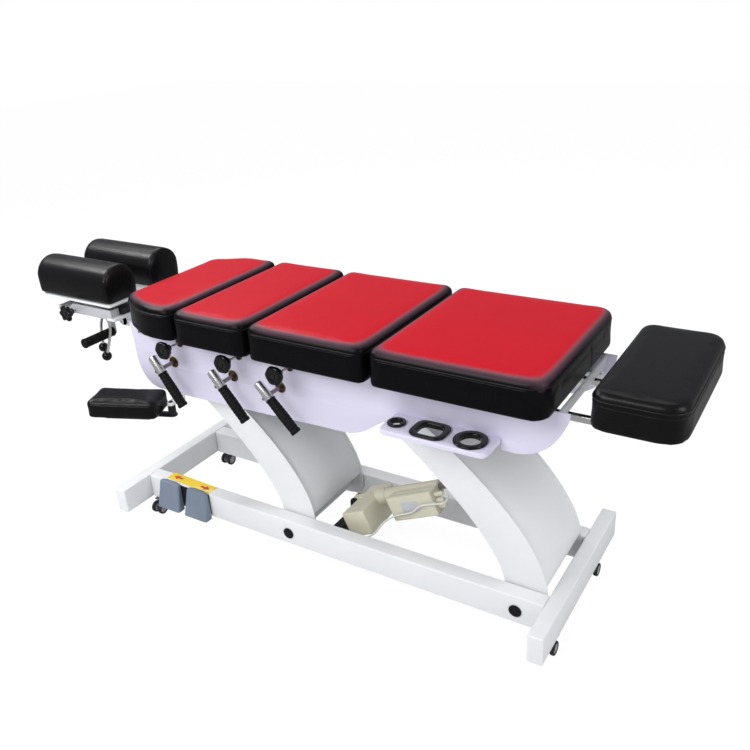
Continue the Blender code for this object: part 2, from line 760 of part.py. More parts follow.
def actuator_crossbar():
    """The tube between the rails with the clevis that carries the actuator's rear end."""
    reach = RAIL_Y - RAIL_WIDTH / 2 - GAP
    x, z = ACTUATOR_REAR
    low = (x - CROSSBAR_SIZE / 2, -reach, CROSSBAR_TOP - CROSSBAR_SIZE)
    high = (x + CROSSBAR_SIZE / 2, reach, CROSSBAR_TOP)
    bar = ease(box(low, high), TUBE_BEVEL)
    cut(bar, box((low[0] + CROSSBAR_WALL, -reach - OVERRUN, low[2] + CROSSBAR_WALL),
                 (high[0] - CROSSBAR_WALL, reach + OVERRUN, high[2] - CROSSBAR_WALL)))
    for side in (-1, 1):
        inner = side * CLEVIS_GAP / 2
        outer = side * (CLEVIS_GAP / 2 + CLEVIS_LUG)
        lug = capsule((x, z), (x, CROSSBAR_TOP + CLEVIS_RADIUS - SINK), CLEVIS_RADIUS)
        weld(bar, plate([lug], min(inner, outer), max(inner, outer)))
    weld(bar, rod(CLEVIS_PIN_RADIUS, (x, -CLEVIS_GAP / 2 - SINK, z), (x, CLEVIS_GAP / 2 + SINK, z)))
    finish(bar, "actuator_crossbar", "dark_steel")


def actuator_body():
    """Motor block, gearbox end and outer tube, with the rear eye on the crossbar's pin."""
    x, z = ACTUATOR_REAR
    slope = turn("Y", -actuator_slope(), (x, 0, z))
    low = (x + MOTOR_START, MOTOR_Y - MOTOR_LENGTH / 2, z - MOTOR_DROP - MOTOR_HEIGHT / 2)
    high = (x + MOTOR_START + MOTOR_DEPTH, MOTOR_Y + MOTOR_LENGTH / 2,
            z - MOTOR_DROP + MOTOR_HEIGHT / 2)
    motor = ease(box(low, high), MOTOR_BEVEL)
    neck = CLEVIS_RADIUS * 2
    half = REAR_EYE_WIDTH / 2
    eye = plate([capsule((x, z), (x + neck + SINK, z), REAR_EYE_RADIUS)], -half, half)
    outer = rod(OUTER_TUBE_RADIUS, (x + neck, 0, z), (x + OUTER_TUBE_END, 0, z), 16)
    collar = rod(OUTER_TUBE_RADIUS + CONTROL_BEVEL, (x + MOTOR_START + MOTOR_DEPTH - SINK, 0, z),
                 (x + MOTOR_START + MOTOR_DEPTH + neck, 0, z), 16, OUTER_TUBE_RADIUS)
    bore = rod(ROD_RADIUS + PLAY, (x + ROD_BORE_START, 0, z), (x + OUTER_TUBE_END + OVERRUN, 0, z))
    pin_hole = rod(CLEVIS_PIN_RADIUS + PLAY, (x, -half - OVERRUN, z), (x, half + OVERRUN, z))
    for piece in (motor, eye, outer, collar, bore, pin_hole):
        piece.matrix_world = slope @ piece.matrix_world
    weld(motor, outer, collar, eye)
    cut(motor, bore, pin_hole)
    settled = settle(motor)
    finish(settled, "actuator_body", "beige_plastic", "actuator")


def settle(obj):
    """The evaluated mesh of a piece as a new object with no modifiers and no placement."""
    bpy.context.view_layer.update()
    evaluated = obj.evaluated_get(bpy.context.evaluated_depsgraph_get())
    mesh = bpy.data.meshes.new_from_object(evaluated)
    mesh.transform(obj.matrix_world)
    done = bpy.data.objects.new("settled", mesh)
    bpy.data.collections["cutters"].objects.link(done)
    obj.hide_render = True
    obj.display_type = "WIRE"
    return done


def actuator_rod():
    """The steel rod, whose eye hangs round the arm's pin with room to shift."""
    length = (Vector(ACTUATOR_FRONT) - Vector(ACTUATOR_REAR)).length
    start = actuator_line(ROD_START)
    end = actuator_line(length - ROD_EYE_HOLE - SINK)
    piston = rod(ROD_RADIUS, (start[0], 0, start[1]), (end[0], 0, end[1]))
    front = (ACTUATOR_FRONT[0], ACTUATOR_FRONT[1])
    half = ROD_EYE_WIDTH / 2
    eye = plate([circle(front, ROD_EYE_RADIUS, 24)], -half, half)
    hole = rod(ROD_EYE_HOLE, (front[0], -half - OVERRUN, front[1]),
               (front[0], half + OVERRUN, front[1]), 24)
    weld(piston, eye)
    cut(piston, hole)
    finish(piston, "actuator_rod", "steel", "actuator_rod")


def control_box():
    """The control box strapped to the near side of the actuator's tube, with its plugs."""
    x, z = ACTUATOR_REAR
    back = -OUTER_TUBE_RADIUS - GAP
    low = (x + CONTROL_ALONG - CONTROL_LENGTH / 2, back - CONTROL_DEPTH,
           z - CONTROL_DROP - CONTROL_HEIGHT / 2)
    high = (x + CONTROL_ALONG + CONTROL_LENGTH / 2, back, z - CONTROL_DROP + CONTROL_HEIGHT / 2)
    case = ease(box(low, high), CONTROL_BEVEL)
    pieces = [case]
    for row in (-1, 0, 1):
        y = back - CONTROL_DEPTH / 2
        plug_z = z - CONTROL_DROP + row * PLUG_SPREAD
        plug = rod(PLUG_RADIUS, (high[0] - SINK, y, plug_z), (high[0] + PLUG_LENGTH, y, plug_z),
                   10, PLUG_RADIUS - SINK)
        weld(case, plug)
        pieces.append(plug)
    slope = turn("Y", -actuator_slope(), (x, 0, z))
    for piece in pieces:
        piece.matrix_world = slope @ piece.matrix_world
    finish(settle(case), "control_box", "beige_plastic", "actuator")


def smooth_route(points, step):
    """A smooth run of points through a list of places."""
    route = [Vector(point) for point in points]
    padded = [route[0] * 2 - route[1]] + route + [route[-1] * 2 - route[-2]]
    places = []
    for p0, p1, p2, p3 in zip(padded, padded[1:], padded[2:], padded[3:]):
        count = max(1, round((p2 - p1).length / step))
        for i in range(count):
            t = i / count
            places.append((p1 * 2 + (p2 - p0) * t + (p0 * 2 - p1 * 5 + p2 * 4 - p3) * t ** 2
                           + (p1 * 3 - p0 - p2 * 3 + p3) * t ** 3) / 2)
    places.append(route[-1])
    return places


def control_lead():
    """The white lead from the upper plug, along the box and down to the rail's inner face."""
    lead = tube(smooth_route(LEAD_ROUTE, LEAD_RADIUS * 8), LEAD_RADIUS)
    finish(lead, "control_lead", "cord_white", "actuator")


def caster_places():
    """Where the casters' stems stand: under the rails at the head, under the cross foot behind."""
    left, _ = rail_ends()
    return left + CASTER_X - FOOT_WIDTH / 2, END_FOOT_X


def stem_hole(x, side):
    """The cutter that opens a caster stem's hole in the lower wall of a tube."""
    y = side * CASTER_Y
    return rod(CASTER_STEM_RADIUS + PLAY, (x, y, BASE_UNDERSIDE - OVERRUN),
               (x, y, BASE_UNDERSIDE + TUBE_WALL + OVERRUN), 10)


def casters():
    """Four twin-wheel swivel casters under the rails."""
    top = BASE_UNDERSIDE - GAP
    head_x, foot_x = caster_places()
    for end, x in (("head", head_x), ("foot", foot_x)):
        for side_name, side in (("near", -1), ("far", 1)):
            y = side * CASTER_Y
            place = end + "_" + side_name
            axle_y = y - CASTER_TRAIL
            make_body("caster_" + place, (x, y, WHEEL_RADIUS))
            make_body("wheels_" + place, (x, axle_y, WHEEL_RADIUS))
            yoke = rod(CASTER_HEAD_RADIUS, (x, y, top - CASTER_HEAD_THICKNESS), (x, y, top))
            stem = rod(CASTER_STEM_RADIUS, (x, y, top - SINK), (x, y, top + CASTER_STEM_LENGTH), 10)
            fin = capsule((axle_y, WHEEL_RADIUS),
                          (y, top - CASTER_HEAD_THICKNESS - CASTER_HUB_RADIUS + SINK),
                          CASTER_HUB_RADIUS, 6)
            half = CASTER_HUB_WIDTH / 2
            weld(yoke, stem, plate([fin], x - half, x + half, "X"))
            cut(yoke, rod(AXLE_RADIUS + PLAY, (x - half - OVERRUN, axle_y, WHEEL_RADIUS),
                          (x + half + OVERRUN, axle_y, WHEEL_RADIUS), 12))
            finish(yoke, "caster_yoke_" + place, "dark_steel", "caster_" + place)
            finish(wheel_pair(x, axle_y), "caster_wheels_" + place, "black_rubber",
                   "wheels_" + place)


def wheel_pair(x, y):
    """Two wheels on one axle, turned as a single profile."""
    inner = WHEEL_GAP / 2
    outer = inner + WHEEL_WIDTH
    hub = WHEEL_RADIUS - WHEEL_WIDTH / 2
    half = [(0, outer - SINK * 2), (hub, outer - SINK * 2), (hub + SINK, outer),
            (WHEEL_RADIUS - SINK, outer), (WHEEL_RADIUS, outer - SINK * 2), (WHEEL_RADIUS, inner),
            (AXLE_RADIUS, inner)]
    profile = half + [(radius, -height) for radius, height in reversed(half)]
    return turned(profile, (x, y, WHEEL_RADIUS), AXES["X"])


def pedal_face():
    """Where the rail's near face lies."""
    return -RAIL_Y - RAIL_WIDTH / 2


def pedal_wedge(x, inset, back_run):
    """A pedal's wedge: wider and deeper at its foot."""
    rings = []
    for width, reach, back, height in (
            (PEDAL_FOOT_WIDTH, PEDAL_FOOT_REACH, PEDAL_BACK_FOOT, 0),
            (PEDAL_TOP_WIDTH, PEDAL_TOP_REACH + PEDAL_BACK_TOP, PEDAL_BACK_TOP, PEDAL_HEIGHT)):
        z = PEDAL_UNDERSIDE + height + (inset if height == 0 else -inset)
        left = x - width / 2 + inset
        right = x + width / 2 - inset
        front = pedal_face() - reach + inset
        rear = pedal_face() - back + back_run
        rings.append([(left, front, z), (right, front, z), (right, rear, z), (left, rear, z)])
    return loft(rings)


def pedals():
    """Two hollow foot pedals that rock on pins near their tops."""
    pivot_y = pedal_face() - PEDAL_PIVOT_REACH
    pivot_z = PEDAL_UNDERSIDE + PEDAL_PIVOT_HEIGHT
    for name, x in (("pedal_head", PEDAL_X[0]), ("pedal_foot", PEDAL_X[1])):
        make_body(name, (x, pivot_y, pivot_z))
        pedal = ease(pedal_wedge(x, 0, 0), PEDAL_BEVEL, 2)
        reach = PEDAL_FOOT_WIDTH / 2
        cut(pedal, pedal_wedge(x, PEDAL_WALL, OVERRUN + PEDAL_WALL))
        cut(pedal, rod(PEDAL_PIN_RADIUS + GAP, (x - reach, pivot_y, pivot_z),
                       (x + reach, pivot_y, pivot_z), 10))
        finish(pedal, name, "pedal_plastic", name)


def pedal_bracket():
    """The dark plate on the rail with a lug and a pin inside each pedal."""
    face = pedal_face() - GAP
    low_x = PEDAL_X[0] - PEDAL_TOP_WIDTH / 2 - PEDAL_PLATE_MARGIN
    high_x = PEDAL_X[1] + PEDAL_TOP_WIDTH / 2 + PEDAL_PLATE_MARGIN
    low_z = PEDAL_UNDERSIDE + PEDAL_PLATE_MARGIN
    high_z = PEDAL_UNDERSIDE + PEDAL_HEIGHT - PEDAL_PLATE_MARGIN
    bracket = box((low_x, face - PEDAL_PLATE, low_z), (high_x, face, high_z))
    pivot = (pedal_face() - PEDAL_PIVOT_REACH, PEDAL_UNDERSIDE + PEDAL_PIVOT_HEIGHT)
    pin_reach = PEDAL_TOP_WIDTH / 2 + PEDAL_WALL
    for x in PEDAL_X:
        lug = capsule(pivot, (face - PEDAL_PLATE / 2 - PEDAL_LUG_RADIUS, pivot[1]),
                      PEDAL_LUG_RADIUS, 4)
        weld(bracket, plate([lug], x - PEDAL_LUG_WIDTH / 2, x + PEDAL_LUG_WIDTH / 2, "X"))
        weld(bracket, rod(PEDAL_PIN_RADIUS, (x - pin_reach, *pivot), (x + pin_reach, *pivot), 10))
    finish(bracket, "pedal_bracket", "dark_steel")


def arm_spine(share):
    """A place on an arm's curved middle line and its half depth there, from the lower pivot."""
    chord = Vector((UPPER_PIVOT_X - LOWER_PIVOT_X, UPPER_PIVOT_Z - LOWER_PIVOT_Z))
    along = chord.normalized()
    square = Vector((along.y, -along.x))
    handles = [Vector((0, ARM_FOOT_OFFSET)), Vector(ARM_BULGE_LOW), Vector(ARM_BULGE_HIGH),
               Vector((chord.length, 0))]
    weights = ((1 - share) ** 3, 3 * share * (1 - share) ** 2, 3 * share ** 2 * (1 - share),
               share ** 3)
    place = sum((handle * weight for handle, weight in zip(handles, weights)), Vector((0, 0)))
    depth = ARM_FOOT_HALF_DEPTH + (ARM_TOP_HALF_DEPTH - ARM_FOOT_HALF_DEPTH) * share ** 2
    start = Vector((LOWER_PIVOT_X, LOWER_PIVOT_Z))
    return start + along * place.x + square * place.y, depth


def arm_edge(side, inset, first=0, last=ARM_STEPS):
    """One edge of an arm, +1 for its foot side and -1 for its head side."""
    points = []
    for step in range(first, last + 1):
        share = step / ARM_STEPS
        here, depth = arm_spine(share)
        ahead = arm_spine(share + 1 / ARM_STEPS)[0] - arm_spine(share - 1 / ARM_STEPS)[0]
        ahead.normalize()
        points.append(here + Vector((ahead.y, -ahead.x)) * side * (depth - inset))
    return points


def arm_cheek_outline():
    """The side outline of an arm: two curved edges with a round top and a flattened foot."""
    up = arm_edge(1, 0)
    down = list(reversed(arm_edge(-1, 0)))
    top = []
    tip, depth = arm_spine(1)
    across = (up[-1] - tip).normalized()
    onward = Vector((-across.y, across.x))
    for step in range(1, ARM_END_STEPS):
        angle = math.pi * step / ARM_END_STEPS
        top.append(tip + (across * math.cos(angle) + onward * math.sin(angle)) * depth)
    low = []
    root, depth = arm_spine(0)
    for step in range(1, ARM_END_STEPS):
        angle = math.pi * step / ARM_END_STEPS
        low.append(root + Vector((-math.cos(angle) * depth, -math.sin(angle) * ARM_END_DROP)))
    return [tuple(point) for point in up + top + down + low]


def lift_arms():
    """Two curved box arms: cheeks, recessed skins and bearing tubes, open at their ends."""
    for name, shift in (("lift_arm_head", 0.0), ("lift_arm_foot", PIVOT_SPACING)):
        make_body(name, (LOWER_PIVOT_X + shift, 0, LOWER_PIVOT_Z))
        cheeks = []
        for side in (-1, 1):
            outer = side * ARM_HALF_WIDTH
            inner = side * (ARM_HALF_WIDTH - CHEEK_THICKNESS)
            cheeks.append(plate([arm_cheek_outline()], min(outer, inner), max(outer, inner)))
        reach = ARM_HALF_WIDTH - CHEEK_THICKNESS / 2
        pivots = ((LOWER_PIVOT_X, LOWER_PIVOT_Z), (UPPER_PIVOT_X, UPPER_PIVOT_Z))
        arm, other = [rod(BEARING_RADIUS, (x, -reach, z), (x, reach, z)) for x, z in pivots]
        weld(arm, other)
        for side in (-1, 1):
            face = arm_edge(side, SKIN_RECESS, 1, ARM_STEPS - 1)
            back = arm_edge(side, SKIN_RECESS + SKIN_THICKNESS, 1, ARM_STEPS - 1)
            strip = [tuple(point) for point in face + list(reversed(back))]
            weld(arm, plate([strip], -reach, reach))
        weld(arm, *cheeks)
        for x, z in pivots:
            cut(arm, rod(SHAFT_RADIUS + PLAY, (x, -ARM_HALF_WIDTH - OVERRUN, z),
                         (x, ARM_HALF_WIDTH + OVERRUN, z)))
        if shift:
            weld(arm, *actuator_lugs())
        done = settle(arm)
        done.data.transform(Matrix.Translation((shift, 0, 0)))
        finish(done, name, "white_coat", name)


def actuator_lugs():
    """Two lugs and a pin on the foot arm's head side, which the rod's eye pushes."""
    front = Vector(ACTUATOR_FRONT) - Vector((PIVOT_SPACING, 0))
    edge = arm_edge(-1, SKIN_RECESS + SKIN_THICKNESS / 2)
    nearest = min(edge, key=lambda point: (point - front).length)
    lugs = []
    for side in (-1, 1):
        inner = side * ARM_LUG_GAP / 2
        outer = side * (ARM_LUG_GAP / 2 + ARM_LUG_THICKNESS)
        link = capsule(front, nearest, ARM_LUG_RADIUS, 6)
        lugs.append(plate([link], min(inner, outer), max(inner, outer)))
    half = ARM_LUG_GAP / 2 + SINK
    lugs.append(rod(ARM_PIN_RADIUS, (front.x, -half, front.y), (front.x, half, front.y), 12))
    return lugs


def frame_tube(low, high, ends):
    """An open rectangular tube of the upper frame, and the cutter of its hollow."""
    hollow_low = [value + FRAME_TUBE_WALL for value in low]
    hollow_high = [value - FRAME_TUBE_WALL for value in high]
    run = "XYZ".index(ends)
    hollow_low[run] = low[run] - OVERRUN
    hollow_high[run] = high[run] + OVERRUN
    return box(low, high), box(hollow_low, hollow_high)


def upper_frame():
    """The level frame that the sections stand on: side rails, cross tubes, shafts and posts."""
    low_z = FRAME_TOP - FRAME_TUBE_HEIGHT
    half = FRAME_TUBE_WIDTH / 2
    frame = None
    hollows = []
    for side in (-1, 1):
        rail, hollow = frame_tube((FRAME_HEAD_X, side * FRAME_RAIL_Y - half, low_z),
                                  (FRAME_END_X, side * FRAME_RAIL_Y + half, FRAME_TOP), "X")
        hollows.append(hollow)
        frame = weld(frame, rail) if frame else rail
    reach = FRAME_RAIL_Y - half + SINK
    for x in CROSS_TUBE_X:
        cross = box((x - CROSS_TUBE_WIDTH / 2, -reach, low_z + FRAME_TUBE_WALL),
                    (x + CROSS_TUBE_WIDTH / 2, reach, FRAME_TOP - FRAME_TUBE_WALL))
        weld(frame, cross)
    cut(frame, *hollows)
    for x in (UPPER_PIVOT_X, UPPER_PIVOT_X + PIVOT_SPACING):
        weld(frame, rod(SHAFT_RADIUS, (x, -reach - half, UPPER_PIVOT_Z),
                        (x, reach + half, UPPER_PIVOT_Z)))
    riser_top = CUSHION_UNDERSIDE - GAP
    for x in RISER_X:
        span = FRAME_RAIL_Y + half
        weld(frame, box((x - RISER_WIDTH / 2, -span, FRAME_TOP - SINK),
                        (x + RISER_WIDTH / 2, span, riser_top)))
    cut(frame, *slide_channels())
    weld(frame, *standoffs(), *stop_posts(), *knob_blocks(), *bearing_lugs(), *armrest_hangers(),
         *head_support(), end_plate())
    for side in (-1, 1):
        bore_y = side * ARMREST_HINGE_Y
        ear_z = ARMREST_EAR_Z
        cut(frame, rod(ARMREST_PIN_RADIUS + PLAY, (ARMREST_HINGE_X, bore_y, ear_z - OVERRUN),
                       (ARMREST_HINGE_X, bore_y, ear_z + ARMREST_EAR_THICKNESS + OVERRUN), 12))
    for x in LEVER_SHAFT_X:
        cut(frame, rod(LEVER_SHAFT_RADIUS + PLAY,
                       (x, -FRAME_RAIL_Y - half - OVERRUN, LEVER_SHAFT_Z),
                       (x, -FRAME_RAIL_Y + half, LEVER_SHAFT_Z), 10))
    for x in KNOB_X:
        cut(frame, rod(KNOB_ROD_RADIUS + PLAY, (x, -FRAME_RAIL_Y - half - OVERRUN, KNOB_Z),
                       (x, -FRAME_RAIL_Y + half + OVERRUN, KNOB_Z), 8))
    finish(frame, "upper_frame", "white_coat", "top")


def slide_channels():
    """Cutters that let the foot slide's rails run through the cross tube and the last riser."""
    width = SLIDE_RAIL_WIDTH / 2 + SLIDE_CLEARANCE
    height = SLIDE_RAIL_HEIGHT / 2 + SLIDE_CLEARANCE
    return [box((RISER_X[0] + RISER_WIDTH, y - width, SLIDE_RAIL_Z - height),
                (FRAME_END_X - OVERRUN, y + width, SLIDE_RAIL_Z + height))
            for y in (-SLIDE_RAIL_Y, SLIDE_RAIL_Y)]


def standoffs():
    """Short blocks on the side rails that the skirts are screwed to."""
    inner = FRAME_RAIL_Y + FRAME_TUBE_WIDTH / 2 - SINK
    outer = SKIRT_OUTER_Y - SKIRT_THICKNESS - GAP
    middle = FRAME_TOP - FRAME_TUBE_HEIGHT / 2
    half = STANDOFF_SIZE / 2
    return [box((x - half, min(side * inner, side * outer), middle - half),
                (x + half, max(side * inner, side * outer), middle + half))
            for side in (-1, 1) for x in STANDOFF_X]


def section_spans():
    """Where each drop section's plate runs along X."""
    return ((CHEST_SHOULDER_X + PLATE_MARGIN, CHEST_END_X - PLATE_MARGIN),
            (THORACIC_X[0] + PLATE_MARGIN, THORACIC_X[1] - PLATE_MARGIN),
            (LUMBAR_X[0] + PLATE_MARGIN, LUMBAR_X[1] - PLATE_MARGIN))


def stop_posts():
    """Posts on the side rails that each drop plate rests on."""
    top = CUSHION_UNDERSIDE - PLATE_THICKNESS - GAP * 2
    half = POST_SIZE / 2
    posts = []
    for span in section_spans():
        for x in (span[0] + half, span[1] - half):
            for side in (-1, 1):
                y = side * FRAME_RAIL_Y
                posts.append(box((x - half, y - half, FRAME_TOP - SINK), (x + half, y + half, top)))
    return posts


def knob_blocks():
    """Blocks on the near rail that the tension rods screw into."""
    half = KNOB_BLOCK_SIZE / 2
    width = FRAME_TUBE_WIDTH / 2
    return [box((x - half, -FRAME_RAIL_Y - width, FRAME_TOP - SINK),
                (x + half, -FRAME_RAIL_Y + width, KNOB_Z + half)) for x in KNOB_X]


def bearing_lugs():
    """Lugs below the near rail that the cocking levers' shafts turn in."""
    low = LEVER_SHAFT_Z - BEARING_LUG_DROP
    high = FRAME_TOP - FRAME_TUBE_HEIGHT + SINK
    half = BEARING_LUG_WIDTH / 2
    outer = -FRAME_RAIL_Y - BEARING_LUG_THICKNESS / 2
    return [box((x - half, outer, low), (x + half, outer + BEARING_LUG_THICKNESS, high))
            for x in LEVER_SHAFT_X]


def armrest_hangers():
    """Plates below the side rails that end in an ear for each armrest's pin."""
    pieces = []
    low_z = ARMREST_EAR_Z
    high_z = FRAME_TOP - FRAME_TUBE_HEIGHT + SINK
    half = ARMREST_HANGER_WIDTH / 2
    x = ARMREST_HINGE_X
    for side in (-1, 1):
        faces = (side * ARMREST_HANGER_Y, side * (ARMREST_HANGER_Y - ARMREST_HANGER_THICKNESS))
        pieces.append(box((x - half, min(faces), low_z), (x + half, max(faces), high_z)))
        hinge = (x, side * ARMREST_HINGE_Y)
        root = (x, side * (ARMREST_HANGER_Y - ARMREST_HANGER_THICKNESS + ARMREST_EYE_RADIUS))
        pieces.append(plate([capsule(root, hinge, ARMREST_EYE_RADIUS)], low_z,
                            low_z + ARMREST_EAR_THICKNESS, "Z"))
    return pieces


def head_support():
    """Two bars that run out from the frame's head end to the tilt pivot, with their shaft."""
    pieces = []
    root = CROSS_TUBE_X[0] - CROSS_TUBE_WIDTH / 2 + SINK
    low = TILT_Z - SUPPORT_HEIGHT / 2
    for side in (-1, 1):
        faces = (side * (SUPPORT_Y - SUPPORT_THICKNESS / 2), side * (SUPPORT_Y + SUPPORT_THICKNESS / 2))
        nose = circle((TILT_X, TILT_Z), SUPPORT_NOSE_RADIUS, 14)
        pieces.append(box((TILT_X, min(faces), low), (root, max(faces), low + SUPPORT_HEIGHT)))
        pieces.append(plate([nose], min(faces), max(faces)))
    reach = SUPPORT_Y + SINK
    pieces.append(rod(TILT_SHAFT_RADIUS, (TILT_X, -reach, TILT_Z), (TILT_X, reach, TILT_Z)))
    return pieces


SKIRT_OUTLINE = (
    (-0.6525, SKIRT_TOP), (-0.6450, 0.6700), (-0.6430, 0.5950), (-0.6213, 0.5453),
    (-0.5840, 0.5160), (-0.4380, 0.5120), (-0.0433, 0.5214), (0.0975, 0.5270),
    (0.2000, 0.5270), (0.2498, 0.5481), (0.2900, 0.5780), (0.3230, 0.5989),
    (SHELF_X[0], SHELF_TOP - SHELF_THICKNESS), (SHELF_X[1], SHELF_TOP - SHELF_THICKNESS),
    (0.6640, 0.5950), (0.7106, 0.5924), (0.7575, 0.6077), (0.7937, 0.6343), (0.8192, 0.6718),
    (0.8380, 0.7150), (0.8415, SKIRT_TOP),
)


def skirts():
    """The two side skirts of folded sheet: the near one carries the tool shelf."""
    outline = list(SKIRT_OUTLINE)
    holes = [circle((x, LEVER_SHAFT_Z), SKIRT_HOLE_RADIUS, 14) for x in LEVER_SHAFT_X]
    knob_hole = SKIRT_HOLE_RADIUS * KNOB_HOLE_SHARE
    holes += [circle((x, KNOB_Z), knob_hole, 12) for x in KNOB_X]
    outer = -SKIRT_OUTER_Y
    near = plate([outline, *holes], outer, outer + SKIRT_THICKNESS)
    weld(near, shelf_sheet())
    finish(near, "skirt_near", "skirt_coat", "top")
    far = plate([outline], -outer - SKIRT_THICKNESS, -outer)
    finish(far, "skirt_far", "skirt_coat", "top")


def shelf_sheet():
    """The tool shelf: a flat sheet with a turned-down lip and three grommet holes."""
    left, right = SHELF_X
    back = -SKIRT_OUTER_Y + SINK
    front = -SKIRT_OUTER_Y - SHELF_REACH
    corners = [(left, front), (right, front), (right, back), (left, back)]
    outline = fillet(corners, [SHELF_CORNER, SHELF_CORNER, SINK, SINK], 3)
    neck_holes = [grommet_outline(i, GROMMET_HOLE[i] + GROMMET_NECK + GAP) for i in range(3)]
    sheet = plate([outline, *neck_holes], SHELF_TOP - SHELF_THICKNESS, SHELF_TOP, "Z")
    inner = fillet(shrink(corners, SHELF_THICKNESS),
                   [SHELF_CORNER - SHELF_THICKNESS, SHELF_CORNER - SHELF_THICKNESS, SINK, SINK], 3)
    lip = plate([outline, inner], SHELF_TOP - SHELF_LIP, SHELF_TOP - SINK, "Z")
    weld(sheet, lip)
    return settle(sheet)


def grommet_outline(index, radius):
    """A ring's outline: round, or a rounded square for the middle one."""
    centre = (GROMMET_X[index], GROMMET_Y)
    if index != 1:
        return circle(centre, radius, 16)
    deep = radius * GROMMET_SQUARE_SHARE
    corners = [(centre[0] - radius, centre[1] - deep), (centre[0] + radius, centre[1] - deep),
               (centre[0] + radius, centre[1] + deep), (centre[0] - radius, centre[1] + deep)]
    return fillet(corners, radius * GROMMET_CORNER_SHARE, 3)


def grommets():
    """Three black rings that snap into the shelf's holes."""
    for index, name in enumerate(("grommet_small", "grommet_square", "grommet_round")):
        outer = GROMMET_OUTER[index]
        hole = GROMMET_HOLE[index]
        middle = (outer + hole) / 2
        base = SHELF_TOP + GAP
        spans = ((outer - SINK, base), (outer, base + GROMMET_HEIGHT / 3),
                 (middle + SINK, base + GROMMET_HEIGHT), (middle - SINK, base + GROMMET_HEIGHT),
                 (hole, base + GROMMET_HEIGHT / 3), (hole, SHELF_TOP - SHELF_THICKNESS * 2),
                 (hole + GROMMET_NECK, SHELF_TOP - SHELF_THICKNESS * 2), (hole + GROMMET_NECK, base))
        rings = [[(x, y, z) for x, y in grommet_outline(index, radius)] for radius, z in spans]
        finish(ring_loft(rings), name, "black_plastic", "top")


def ring_loft(rings):
    """A closed ring through sections that return to the first."""
    shape = bmesh.new()
    loops = [[shape.verts.new(point) for point in ring] for ring in rings]
    count = len(loops[0])
    for lower, upper in zip(loops, loops[1:] + loops[:1]):
        for i in range(count):
            j = (i + 1) % count
            shape.faces.new((lower[i], lower[j], upper[j], upper[i]))
    bmesh.ops.recalc_face_normals(shape, faces=shape.faces)
    return from_bmesh(shape)


def end_plate():
    """The foot end's cross plate, slotted for the slide's rails and welded across the side rails."""
    half = SKIRT_OUTER_Y - SKIRT_THICKNESS - GAP
    outline = rectangle((-half, END_PLATE_UNDERSIDE), (half, END_PLATE_TOP))
    width = SLIDE_RAIL_WIDTH / 2 + SLIDE_CLEARANCE
    height = SLIDE_RAIL_HEIGHT / 2 + SLIDE_CLEARANCE
    slots = [rectangle((y - width, SLIDE_RAIL_Z - height), (y + width, SLIDE_RAIL_Z + height))
             for y in (-SLIDE_RAIL_Y, SLIDE_RAIL_Y)]
    start = FRAME_END_X - SINK
    return settle(plate([outline, *slots], start, start + END_PLATE_THICKNESS, "X"))


def chest_corners():
    """The chest cushion's plan: cut back at its head corners."""
    half = CUSHION_HALF_WIDTH
    return [(CHEST_SHOULDER_X, -half), (CHEST_END_X, -half), (CHEST_END_X, half),
            (CHEST_SHOULDER_X, half), (CHEST_HEAD_X, CHEST_HEAD_HALF_WIDTH),
            (CHEST_HEAD_X, -CHEST_HEAD_HALF_WIDTH)]


def cushions():
    """The four body cushions on their plates and risers."""
    half = CUSHION_HALF_WIDTH
    corner = CUSHION_CORNER
    levels = (CUSHION_UNDERSIDE, CUSHION_SEAM, CUSHION_TOP)
    chest = cushion(chest_corners(), [corner] * 6, *levels, 1)
    finish(chest, "chest_cushion", "red_vinyl", "chest")
    for name, span in (("thoracic", THORACIC_X), ("lumbar", LUMBAR_X)):
        obj = cushion(rectangle((span[0], -half), (span[1], half)), [corner] * 4, *levels)
        finish(obj, name + "_cushion", "red_vinyl", name)
    radii = [corner, PELVIC_END_CORNER, PELVIC_END_CORNER, corner]
    pelvic = cushion(rectangle((PELVIC_X[0], -half), (PELVIC_X[1], half)), radii, *levels)
    finish(pelvic, "pelvic_cushion", "red_vinyl", "top")


